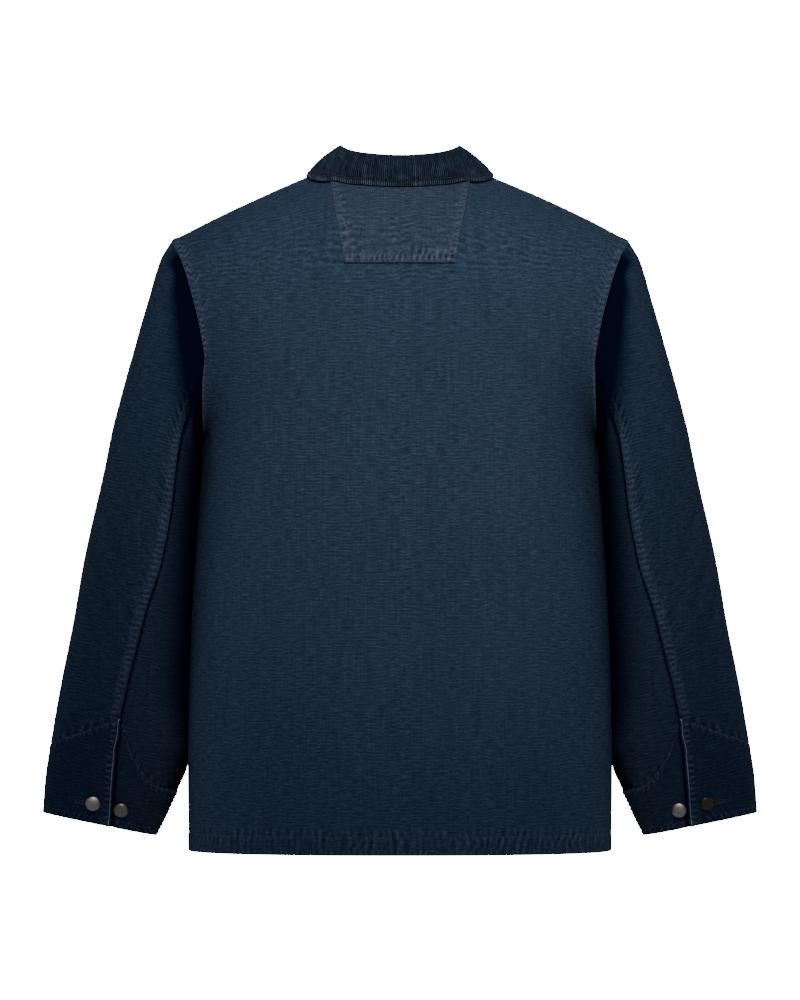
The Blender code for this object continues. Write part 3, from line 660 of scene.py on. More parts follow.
class Sewing(Enum):
    """The jacket's seams, hems and edges, each with its work."""

    HEM = Work(bands=((0.0, 17.5, 0.35, 2.0),), grooves=((18.5, 0.75, 1.1),),
               puckers=((11.5, 9.0, 8.6, 0.34, 1, 0.12), (21.5, 5.0, 8.0, 0.22, 2, 0.0),
                        (1.5, 3.0, 6.0, 0.22, 3, 0.0)),
               ridges=((13.5, 6.0, 0.34), (2.0, 2.4, 0.45)))
    ARMHOLE = Work(bands=((1.0, 8.8, 0.9, 1.2),), grooves=((7.4, 0.45, 0.8), (1.7, 0.30, 0.7)),
                   puckers=((4.5, 4.4, 7.4, 0.55, 10, 0.3), (11.0, 5.0, 8.0, 0.22, 14, -0.3)),
                   ridges=((4.4, 4.4, 0.90),), roll=1.3)
    BACK_SHOULDER = Work(bands=((1.0, 8.6, 0.72, 1.2),), grooves=((7.4, 0.4, 0.8), (1.7, 0.3, 0.7)),
                         puckers=((4.5, 6.5, 8.5, 0.5, 30, 0.0),))
    FRONT_SHOULDER = Work(puckers=((3.0, 6.0, 9.0, 0.35, 33, 0.0),))
    FRONT_EDGE = Work(grooves=((2.3, 0.4, 0.8), (10.0, 0.4, 0.8)),
                      puckers=((6.0, 8.0, 10.0, 0.42, 31, 0.0),))
    SLEEVE_HEAD = Work(puckers=((3.0, 8.0, 9.0, 0.35, 1, 0.0),))
    SLEEVE_END = Work(puckers=((2.0, 6.0, 11.0, 0.16, 2, 0.2),), roll=0.9)
    ELBOW = Work(bands=((0.6, 12.2, 1.035, 1.2),), grooves=((1.7, 0.55, 0.9), (10.6, 0.55, 0.9)),
                 puckers=((6.2, 5.4, 6.6, 0.60, 4, 0.35), (15.0, 5.0, 9.0, 0.20, 6, -0.4)), roll=0.7)
    UNDER_ELBOW = Work(puckers=((2.0, 5.0, 8.6, 0.35, 4, 0.3),))
    CUFF_TOP = Work(bands=((0.0, 5.0, 0.55, 1.5),), grooves=((2.2, 0.45, 0.8),),
                    puckers=((3.5, 6.0, 8.6, 0.50, 1, 0.25),), ridges=((3.0, 3.4, 0.40),), roll=0.9)
    CUFF_EDGE = Work(grooves=((6.2, 0.45, 0.9),), puckers=((5.0, 3.4, 7.6, 0.30, 2, 0.5),),
                     ridges=((4.4, 2.6, 0.34),))
    CUFF_INSEAM = Work(bands=((0.5, 8.6, 0.6, 1.2),), puckers=((5.5, 3.4, 7.0, 0.22, 3, 0.0),),
                       ridges=((5.0, 3.8, 0.50),))
    VENT = Work(puckers=((5.0, 3.8, 7.0, 0.40, 4, 0.0),), ridges=((5.2, 3.2, 0.90),))
    COLLAR_EDGE = Work(grooves=((5.8, 0.55, 0.9),), roll=0.7)
    COLLAR_LEAF = Work(puckers=((3.0, 5.0, 5.5, 0.42, 10, 0.0), (9.0, 5.0, 6.5, 0.22, 11, 0.0)))
    PATCH = Work(bands=((0.5, 9.0, 0.35, 1.4),), grooves=((1.7, 0.30, 0.7), (9.4, 0.45, 0.9)),
                 puckers=((5.4, 3.8, 5.8, 0.14, 0, 0.0), (12.0, 4.0, 9.0, 0.08, 10, 0.0)),
                 ridges=((4.8, 3.8, 0.62),), roll=0.8)
    POCKET = Work(bands=((0.5, 7.4, 0.45, 1.2),), grooves=((7.4, 0.45, 0.8),),
                  puckers=((4.6, 4.8, 7.2, 0.48, 0, 0.2),), roll=1.0)
    POCKET_HEM = Work(bands=((0.0, 25.0, 0.4, 1.5),), grooves=((26.0, 0.45, 0.9),),
                      puckers=((24.0, 8.0, 9.0, 0.42, 8, 0.3),))


class Cloth:
    """A cut piece: its grid of points, raised and pressed in by seams, puckers and creases, with its painted
    shade.
    """

    def __init__(self, points: Grid, outward: Sequence[float]) -> None:
        """Measure the grid.

        Args:
            points: The form's points, row by row.
            outward: Roughly which way the middle of the piece faces.
        """
        self.base = points
        self.across, self.along = travelled(points, 1), travelled(points, 0)
        normals = grid_normals(points)
        middle = normals[points.shape[0] // 2, points.shape[1] // 2]
        self.flip = float(middle @ np.array(outward, float)) < 0
        self.normals = -normals if self.flip else normals
        self.lift = np.zeros(points.shape[:2])
        self.wear = np.zeros(points.shape[:2])
        self.shade = np.zeros(points.shape[:2])
        self.ridges = np.zeros((2, *points.shape[:2]))  # one after another across, and along
        self.turns: list[Turn] = []

    # -- measuring

    def gap(self, edge: Edge) -> Field:
        """Return each point's distance from an edge.

        Args:
            edge: The edge.

        Returns:
            The distances.
        """
        if edge is Edge.FIRST_ROW:
            return self.along
        if edge is Edge.LAST_ROW:
            return self.along[-1] - self.along
        if edge is Edge.FIRST_COLUMN:
            return self.across
        return self.across[:, -1:] - self.across

    def beside(self, edge: Edge) -> Field:
        """Return each point's distance along the line that runs beside an edge."""
        return self.along if edge in SIDE_EDGES else self.across

    def formed(self) -> Grid:
        """Return the points with their lift."""
        return self.base + self.normals * self.lift[..., None]

    def outward(self) -> Grid:
        """Return the formed cloth's outward directions."""
        return grid_normals(self.formed()) * (-1 if self.flip else 1)

    def flat_size(self) -> tuple[float, float, float]:
        """Return the cut's width, its length and its area, in metres.

        Returns:
            The width, the length and the area, with what is turned in.
        """
        cell = np.cross(self.base[1:, 1:] - self.base[:-1, :-1], self.base[:-1, 1:] - self.base[1:, :-1])
        area = float(np.linalg.norm(cell, axis=-1).sum() / 2)
        width, length = float(self.across[:, -1].max()), float(self.along[-1].max())
        for turn in self.turns:
            if turn.edge in SIDE_EDGES:
                width += turn.depth
                area += turn.depth * float(self.along[-1].mean())
            else:
                length += turn.depth
                area += turn.depth * float(self.across[:, -1].mean())
        return width * MM, length * MM, area * MM * MM

    # -- shaping

    def lighten(self, amount: Field) -> None:
        """Lighten the cloth towards its faded colour, but not down to the bare cotton: where it is rubbed,
        and as painted light on the back's sides.
        """
        self.wear = np.clip(self.wear + amount, 0.0, MOST_WEAR_AND_LIGHT)

    def band(self, edge: Edge, near: float, far: float, rise: float, soft: float = 1.0,
             where: Field | float = 1.0) -> None:
        """Raise a stretch beside an edge, where more layers lie on each other.

        Args:
            edge: The edge that the stretch runs along.
            near: Its nearer side's distance from the edge.
            far: Its farther side's distance.
            rise: How much it stands up.
            soft: How wide its slopes are.
            where: A share from 0 to 1 that holds it to part of the edge.
        """
        d = self.gap(edge)
        inside = ease((d - near + soft) / soft) * ease((far + soft - d) / soft)
        self.lift += rise * inside * where
        self.lighten(0.08 * inside * where)

    def groove(self, edge: Edge, at: float, depth: float, width: float = 0.9,
               where: Field | float = 1.0) -> None:
        """Sink a line beside an edge, where a row of stitching draws the cloth in.

        Args:
            edge: The edge that the line runs along.
            at: Its distance from the edge.
            depth: How deep it is.
            width: Half its width.
            where: A share from 0 to 1 that holds it to part of the edge.
        """
        off = self.gap(edge) - at
        self.lift -= depth * bell(off, width) * where
        self.lighten(0.10 * bell(off, 1.7 * width) * where)

    def roll(self, edge: Edge, radius: float, where: Field | float = 1.0) -> None:
        """Round an edge off towards the inside.

        Args:
            edge: The edge.
            radius: How far the rounding reaches.
            where: A share from 0 to 1 that holds it to part of the edge.
        """
        d = np.clip(1 - self.gap(edge) / radius, 0.0, 1.0)
        self.lift -= radius * (1 - np.sqrt(np.maximum(1 - d * d, 0.0))) * where
        self.lighten(0.38 * np.sqrt(d) * where)

    def shaded_hollow(self, edge: Edge, centre: float, reach: Field | float, depth: float, dark: float,
               where: Field | float = 1.0) -> None:
        """Sink a wide soft stretch beside an edge, and paint shade over it.

        Args:
            edge: The edge that the stretch runs along.
            centre: The distance from the edge where it is deepest.
            reach: How far it reaches beyond that.
            depth: Its depth.
            dark: How much painted shade it gets, from 0 to 1.
            where: A share from 0 to 1 that holds it to part of the edge.
        """
        d = self.gap(edge)
        side = np.where(d < centre, 3.0 * centre, reach)
        dip = bell(np.abs(d - centre), side, 2.8) * where
        self.lift -= depth * dip
        # painted shade over the dip
        self.shade += dark * dip

    def pucker(self, edge: Edge, centre: float, reach: float, pitch: float, depth: float,
               seed: int, slant: float = 0.0, where: Field | float = 1.0) -> None:
        """Draw the cloth up in short uneven waves across a line of stitching.

        Args:
            edge: The edge that the stitching runs along.
            centre: The line's distance from the edge.
            reach: How far the waves run out on each side.
            pitch: Their mean distance along the line.
            depth: Their height.
            seed: Which set of waves.
            slant: How far they lean along the line for each millimetre away from it.
            where: A share from 0 to 1 that holds them to part of the edge.
        """
        d, s = self.gap(edge) - centre, self.beside(edge)
        waves = Unevenness(seed)
        along = (s + slant * d) / pitch
        along = along + 0.5 * waves.sheet(s / 31.0, d / 12.0 + 7)
        even = np.sin(math.tau * along + 2.0 * waves.line(0.37 * along, 1))
        wave = 0.62 * even + 0.45 * waves.line(3.1 * along, 2)
        strength = 0.68 + 0.45 * waves.line(s / 37.0, 3)
        near = bell(d, reach * (1 + 0.3 * waves.line(s / 11.0, 4)))
        amount = wave * near * strength * where
        self.lift += depth * amount
        self.lighten(0.90 * np.clip(amount, 0.0, None))
        # painted shade in the waves' troughs; the crests are faded by rubbing
        self.shade += 0.60 * np.clip(-amount, 0.0, None)

    def ridge(self, edge: Edge, centre: float, reach: float, strength: float,
              where: Field | float = 1.0) -> None:
        """Mark where a seam's stitching draws the cloth up in short rubbed ridges.

        Args:
            edge: The edge that the stitching runs along.
            centre: The ridges' middle, from the edge.
            reach: Half their length.
            strength: How far they are faded.
            where: A share from 0 to 1 that holds them to part of the edge.
        """
        amount = strength * bell(self.gap(edge) - centre, reach, 4) * where
        ridges = self.ridges[1 if edge in SIDE_EDGES else 0]
        np.maximum(ridges, amount, out=ridges)

    def crease(self, start: tuple[float, float], end: tuple[float, float], width: float,
               depth: float, bow: float = 0.0) -> None:
        """Press a soft trough, or a ridge for a depth below 0, along a bowed line.

        Args:
            start: Where it starts, as (across, along) in millimetres.
            end: Where it ends.
            width: Half its width.
            depth: How deep it is in the middle.
            bow: How far it bends sideways.
        """
        a, b = np.array(start, float), np.array(end, float)
        way = b - a
        length = float(np.hypot(*way))
        way = way / length
        dx, dy = self.across - a[0], self.along - a[1]
        t = (dx * way[0] + dy * way[1]) / length
        off = dx * -way[1] + dy * way[0] - bow * np.sin(np.pi * np.clip(t, 0.0, 1.0))
        ends = ease(t / 0.3) * ease((1 - t) / 0.3)
        trough = bell(off, width) * ends
        shoulder = bell(off - 1.9 * width, width) * ends
        self.lift += depth * (0.35 * shoulder - trough)
        # painted shade in the crease's trough
        self.shade += 0.05 * depth * trough

    def uneven(self, pitch: float, depth: float, seed: int) -> None:
        """Give the whole piece the slight waves of washed cloth.

        Args:
            pitch: The mean distance of the waves.
            depth: Their height.
            seed: Which set of waves.
        """
        waves = Unevenness(seed)
        x, y = self.across / pitch, self.along / pitch
        self.lift += depth * (waves.sheet(x + 3, y) + 0.45 * waves.sheet(2.3 * x, 2.3 * y + 9))

    def sewn(self, edge: Edge, sewing: Sewing, seed: int = 0, where: Field | float = 1.0) -> None:
        """Shape the cloth beside an edge as its sewing does.

        Args:
            edge: The edge.
            sewing: How it is sewn.
            seed: Which sets of waves.
            where: A share from 0 to 1 that holds it to part of the edge.
        """
        work = sewing.value
        for band in work.bands:
            self.band(edge, *band, where)
        for groove in work.grooves:
            self.groove(edge, *groove, where)
        for *pucker, waves, slant in work.puckers:
            self.pucker(edge, *pucker, seed + waves, slant, where)
        for ridge in work.ridges:
            self.ridge(edge, *ridge, where)
        if work.roll:
            self.roll(edge, work.roll, where)

    # -- lines on the piece

    def line(self, edge: Edge, distance: float, start: float = 0.0,
             stop: float = 1.0) -> tuple[np.ndarray, np.ndarray]:
        """Return a line that runs at a distance from an edge.

        Args:
            edge: The edge.
            distance: The line's distance from it.
            start: Where it starts, as a part of the edge.
            stop: Where it ends.

        Returns:
            Its points and the outward directions there.
        """
        points, outward, gap = self.formed(), self.outward(), self.gap(edge)
        if edge not in SIDE_EDGES:
            points, outward, gap = (np.swapaxes(a, 0, 1) for a in (points, outward, gap))
        if edge in (Edge.LAST_ROW, Edge.LAST_COLUMN):
            points, outward, gap = points[:, ::-1], outward[:, ::-1], gap[:, ::-1]
        count = len(gap)
        first, last = round(start * (count - 1)), round(stop * (count - 1))
        found, ways = [], []
        for r in range(first, last + 1):
            at = np.interp(distance, gap[r], np.arange(gap.shape[1]))
            k = min(int(at), gap.shape[1] - 2)
            found.append(points[r, k] + (points[r, k + 1] - points[r, k]) * (at - k))
            ways.append(outward[r, k])
        return np.array(found), unit(np.array(ways))

    def laid(self, points: np.ndarray) -> tuple[np.ndarray, np.ndarray]:
        """Return points dropped onto the piece, and the outward directions there.

        Args:
            points: Points near the piece.

        Returns:
            The points on it, and the directions.
        """
        formed, outward = self.formed().reshape(-1, 3), self.outward().reshape(-1, 3)
        found = [int(((formed - p) ** 2).sum(axis=1).argmin()) for p in points]
        ways, near = outward[found], formed[found]
        return points - ways * ((points - near) * ways).sum(axis=1, keepdims=True), ways

    # -- making

    def fold_in(self, edge: Edge, depth: float, thickness: float, rows: int = 5) -> None:
        """Turn an edge to the inside when the mesh is made."""
        self.turns.append(Turn(edge, depth, thickness, rows))

    def build(self, name: str, centre_column: int = 0,
              upward: Callable[[Grid], Field] | None = None) -> bpy.types.Object:
        """Make the mesh.

        Args:
            name: The object's name.
            centre_column: The column from which distances across are counted.
            upward: Tells how far along the warp points lie, for a piece with curved rows.

        Returns:
            The object, with its cut's distances as UV in metres.
        """
        fields = (self.wear, self.shade, *self.ridges)
        layers = [self.formed(), self.outward(), *(a[..., None] for a in fields), self.base]
        for turn in self.turns:
            layers = turned_in(layers, turn)
            if turn.edge is Edge.FIRST_COLUMN:
                centre_column += layers[0].shape[1] - self.base.shape[1]
        points, _, *fields, flat = layers
        across, along = travelled(flat, 1), travelled(flat, 0)
        if upward is not None:
            along = upward(flat)
            steps = np.diff(across, axis=1) ** 2 - np.diff(along, axis=1) ** 2
            across[:, 1:] = np.cumsum(np.sqrt(np.maximum(steps, 0.0)), axis=1)
        centre_column = min(centre_column, points.shape[1] - 1)
        uv = np.stack([across - across[:, centre_column : centre_column + 1], along], axis=-1)
        names = ("wear", "shade", "ridges_across", "ridges_along")
        values = {key: np.clip(value[..., 0], 0.0, 1.0) for key, value in zip(names, fields)}
        return grid_object(name, points, uv, values, reverse=not self.flip)


def turned_in(layers: list[np.ndarray], turn: Turn) -> list[np.ndarray]:
    """Add the rows of a folded edge to a piece's points, normals and fields.

    Args:
        layers: Points, normals, and fields with one number in a last axis.
        turn: The fold.

    Returns:
        The longer layers.
    """
    flipped = turn.edge in (Edge.LAST_ROW, Edge.LAST_COLUMN)
    swapped = turn.edge in SIDE_EDGES
    if swapped:
        layers = [np.swapaxes(a, 0, 1) for a in layers]
    if flipped:
        layers = [a[::-1] for a in layers]
    points, normals = layers[:2]
    radius = turn.thickness / 2
    away = unit(points[0] - points[1])
    distance = travelled(points, 0).mean(axis=1)
    last = max(int(np.searchsorted(distance, turn.depth)), 2)
    inner = np.unique(np.linspace(last, 1, turn.rows).round().astype(int))[::-1]
    sheets = [[], []]
    for k in inner:
        drop = turn.thickness if k != last else radius
        sheets[0].append(points[k] - normals[k] * drop)
        sheets[1].append(normals[k])
    for angle in np.radians(FOLD_ANGLES):
        rounded_off = away * np.sin(angle) - normals[0] * (1 - np.cos(angle))
        sheets[0].append(points[0] + rounded_off * radius)
        sheets[1].append(normals[0])
    grown = [np.concatenate([np.array(sheet), a]) for sheet, a in zip(sheets, layers[:2])]
    extra = len(sheets[0])
    grown += [np.concatenate([np.repeat(a[:1], extra, axis=0), a]) for a in layers[2:-1]]
    steps = np.arange(extra, 0, -1)[:, None, None] * 2.0
    grown += [np.concatenate([a[:1] + away[None] * steps, a]) for a in layers[-1:]]
    if flipped:
        grown = [a[::-1] for a in grown]
    if swapped:
        grown = [np.swapaxes(a, 0, 1) for a in grown]
    return grown


def quads_of(rows: int, columns: int, closed: bool = False) -> np.ndarray:
    """Return the corner numbers of a grid's faces; closed joins its last column to its first.

    Args:
        rows: Rows of points.
        columns: Points in a row.
        closed: True for a ring.

    Returns:
        Four corner numbers a face.
    """
    index = np.arange(rows * columns).reshape(rows, columns)
    if closed:
        index = np.concatenate([index, index[:, :1]], axis=1)
    corners = index[:-1, :-1], index[:-1, 1:], index[1:, 1:], index[1:, :-1]
    return np.stack([c.ravel() for c in corners], axis=-1)


def mesh_object(name: str, points: np.ndarray, faces: np.ndarray, uv: np.ndarray | None = None,
                fields: dict[str, np.ndarray] | None = None) -> bpy.types.Object:
    """Make a smooth mesh object from four-cornered faces.

    Args:
        name: Its name.
        points: Points in millimetres, (count, 3).
        faces: Corner numbers, (count, 4).
        uv: Distances on the cloth in millimetres, one pair for each point.
        fields: Named numbers, one for each point.

    Returns:
        The object, linked to the scene.
    """
    mesh = bpy.data.meshes.new(name)
    mesh.vertices.add(len(points))
    mesh.vertices.foreach_set("co", (points * MM).astype(np.float32).ravel())
    mesh.loops.add(faces.size)
    mesh.loops.foreach_set("vertex_index", faces.astype(np.int32).ravel())
    mesh.polygons.add(len(faces))
    mesh.polygons.foreach_set("loop_start", np.arange(0, faces.size, 4, dtype=np.int32))
    mesh.update(calc_edges=True)
    if uv is not None:
        layer = mesh.uv_layers.new(name="cut")
        layer.data.foreach_set("uv", (uv[faces.ravel()] * MM).astype(np.float32).ravel())
    for field_name, values in (fields or {}).items():
        attribute = mesh.attributes.new(field_name, "FLOAT", "POINT")
        attribute.data.foreach_set("value", values.astype(np.float32).ravel())
    mesh.shade_smooth()
    made = bpy.data.objects.new(name, mesh)
    bpy.context.scene.collection.objects.link(made)
    return made


def grid_object(name: str, points: Grid, uv: np.ndarray, fields: dict[str, np.ndarray],
                reverse: bool = False, closed: bool = False) -> bpy.types.Object:
    """Make a mesh object from a grid of points.

    Args:
        name: Its name.
        points: Points in millimetres, row by row.
        uv: Distances on the cloth, a pair for each point.
        fields: Named numbers for each point.
        reverse: True to turn the faces over.
        closed: True to join the last column to the first.

    Returns:
        The object.
    """
    rows, columns = points.shape[:2]
    faces = quads_of(rows, columns, closed)
    if reverse:
        faces = faces[:, ::-1]
    flat = {key: value.ravel() for key, value in fields.items()}
    return mesh_object(name, points.reshape(-1, 3), faces, uv.reshape(-1, 2), flat)


def mirrored_object(source: bpy.types.Object, name: str) -> bpy.types.Object:
    """Return a copy of an object on the other side of the centre plane.

    Args:
        source: The object.
        name: The copy's name.

    Returns:
        The copy, linked to the scene.
    """
    mesh = source.data.copy()
    mesh.name = name
    count = len(mesh.vertices)
    points = np.empty(count * 3, np.float32)
    mesh.vertices.foreach_get("co", points)
    points = points.reshape(-1, 3) * np.array([-1.0, 1.0, 1.0], np.float32)
    mesh.vertices.foreach_set("co", points.ravel())
    mesh.flip_normals()
    made = bpy.data.objects.new(name, mesh)
    bpy.context.scene.collection.objects.link(made)
    return made


# ---- stitching


@dataclass
class Thread:
    """Rows of single stitches, gathered and made as one joined mesh."""

    name: str
    pitch: float = 4.4  # from one stitch to the next
    length: float = 3.2  # what shows of each stitch
    half_width: float = 0.40
    rise: float = 0.26  # how far a stitch stands off the cloth
    depth: float = 0.16  # how far its ends go in
    taper: float = 0.45  # its ends' part of its width
    bend: float = 0.26  # where it levels out, as a part of its length
    shift: float = 0.0  # where the stitches lie, in parts of the pitch
    pits: "Thread | None" = None  # the needle's dimples, drawn as dark bars of painted shade
    places: list[np.ndarray] = field(default_factory=list)
    corners: list[np.ndarray] = field(default_factory=list)
    count: int = 0

    def sew(self, line: tuple[np.ndarray, np.ndarray], pitted: bool = False) -> None:
        """Put a row of stitches along a line.

        Args:
            line: Points of the line, and the outward directions there.
            pitted: True where the cloth is drawn in at each stitch's end.
        """
        points, outward = line
        if pitted and self.pits is not None:
            self.pits.sew(line)
        travel = travelled(points[None], 1)[0]
        number = max(int(travel[-1] / self.pitch), 1)
        pitch = travel[-1] / number
        starts = (np.arange(number) + 0.5 + self.shift) * pitch - self.length / 2
        read = [np.array([np.interp(at, travel, values[:, k]) for k in range(3)]).T
                for values in (points, outward) for at in (starts, starts + self.length)]
        self.bars(read[0], read[1], unit(read[2] + read[3]))

    def bars(self, starts: np.ndarray, ends: np.ndarray, up: np.ndarray) -> None:
        """Put one stitch from each start to each end.

        Args:
            starts: Points where the stitches come out of the cloth.
            ends: Points where they go in again.
            up: The outward directions there.
        """
        t = np.array([0.0, self.bend, 1 - self.bend, 1.0])[:, None]
        centres = starts[:, None] + (ends - starts)[:, None] * t
        up = up[:, None] * np.ones_like(t)
        sideways = unit(np.cross(up, np.broadcast_to(unit(ends - starts)[:, None], up.shape)))
        centres = centres + up * np.array([-self.depth, self.rise, self.rise, -self.depth])[:, None]
        size = np.array([self.taper, 1.0, 1.0, self.taper])[:, None] * self.half_width
        ring = [centres + sideways * size, centres + up * size * 0.8,
                centres - sideways * size, centres - up * size * 0.8]
        self.places.append(np.stack(ring, axis=2).reshape(-1, 3))
        one = np.concatenate([quads_of(4, 4, closed=True), [[3, 2, 1, 0], [12, 13, 14, 15]]])
        offsets = self.count + 16 * np.arange(len(starts))[:, None, None]
        self.corners.append((one[None] + offsets).reshape(-1, 4))
        self.count += 16 * len(starts)

    def build(self) -> bpy.types.Object:
        """Make the mesh of all rows.

        Returns:
            The stitches as one object.
        """
        made = mesh_object(self.name, np.concatenate(self.places), np.concatenate(self.corners))
        self.places, self.corners, self.count = [], [], 0
        return made


# ---- finishes

Colour = tuple[float, float, float]
Socket = bpy.types.NodeSocket


class Nodes:
    """A material's nodes, added and linked one after another."""

    def __init__(self, name: str) -> None:
        """Start a material with its shader.

        Args:
            name: The material's name.
        """
        self.material = bpy.data.materials.new(name)
        self.material.use_nodes = True
        self.tree = self.material.node_tree
        self.shader = self.tree.nodes["Principled BSDF"]

    def add(self, kind: str, inputs: dict[str | int, object] | None = None, **settings: object):
        """Add a node.

        Args:
            kind: The node's type, without its first word.
            inputs: Values or sockets for its inputs, by name or number.
            settings: Other properties of the node.

        Returns:
            The node.
        """
        node = self.tree.nodes.new("ShaderNode" + kind)
        for key, value in settings.items():
            setattr(node, key, value)
        for key, value in (inputs or {}).items():
            if isinstance(value, Socket):
                self.tree.links.new(value, node.inputs[key])
            else:
                node.inputs[key].default_value = value
        return node

    def math(self, operation: str, *values: object, clamp: bool = False) -> Socket:
        """Return the result of a sum on numbers or sockets."""
        node = self.add("Math", dict(enumerate(values)), operation=operation, use_clamp=clamp)
        return node.outputs[0]

    def noise(self, vector: Socket, detail: float = 2.0,
              roughness: float = 0.5) -> Socket:
        """Return noise of about 1 wave a unit at a vector."""
        inputs = {"Vector": vector, "Scale": 1.0, "Detail": detail, "Roughness": roughness}
        return self.add("TexNoise", inputs).outputs["Fac"]

    def scaled(self, vector: Socket, across: float, along: float,
               deep: float = 1.0) -> Socket:
        """Return a vector multiplied on each axis."""
        node = self.add("VectorMath", {0: vector, 1: (across, along, deep)}, operation="MULTIPLY")
        return node.outputs[0]

    def spread(self, value: Socket, low: float, high: float, start: float = 0.0,
               end: float = 1.0) -> Socket:
        """Return a value moved from one range to another, held at the ends."""
        inputs = {"Value": value, "From Min": low, "From Max": high, "To Min": start, "To Max": end}
        return self.add("MapRange", inputs).outputs["Result"]

    def blend(self, share: object, a: object, b: object) -> Socket:
        """Return a colour between two colours."""
        node = self.add("Mix", {0: share, 6: a, 7: b}, data_type="RGBA")
        return node.outputs[2]

    def field(self, name: str) -> Socket:
        """Return a number that the mesh carries."""
        return self.add("Attribute", attribute_name=name).outputs["Fac"]

    def cut(self) -> Socket:
        """Return the distances on the cut cloth, in metres."""
        return self.add("UVMap", uv_map="cut").outputs["UV"]

    def finish(self, colour: object, roughness: object, height: object = None,
               bump: float = 0.0, **shader: object) -> bpy.types.Material:
        """Link the shader.

        Args:
            colour: Its base colour.
            roughness: Its roughness.
            height: The bump's height, from 0 to 1.
            bump: The bump's real depth, in metres.
            shader: Uniform numbers or colours for the shader's other sockets.

        Returns:
            The material.
        """
        for socket, value in (("Base Color", colour), ("Roughness", roughness)):
            if isinstance(value, Socket):
                self.tree.links.new(value, self.shader.inputs[socket])
            else:
                self.shader.inputs[socket].default_value = value
        if height is not None:
            node = self.add("Bump", {"Height": height, "Strength": 1.0, "Distance": bump})
            self.tree.links.new(node.outputs["Normal"], self.shader.inputs["Normal"])
        for key, value in shader.items():
            self.shader.inputs[key.replace("_", " ")].default_value = value
        return self.material


def rgba(colour: Colour) -> tuple[float, float, float, float]:
    """Return a colour with its alpha."""
    return (*colour, 1.0)


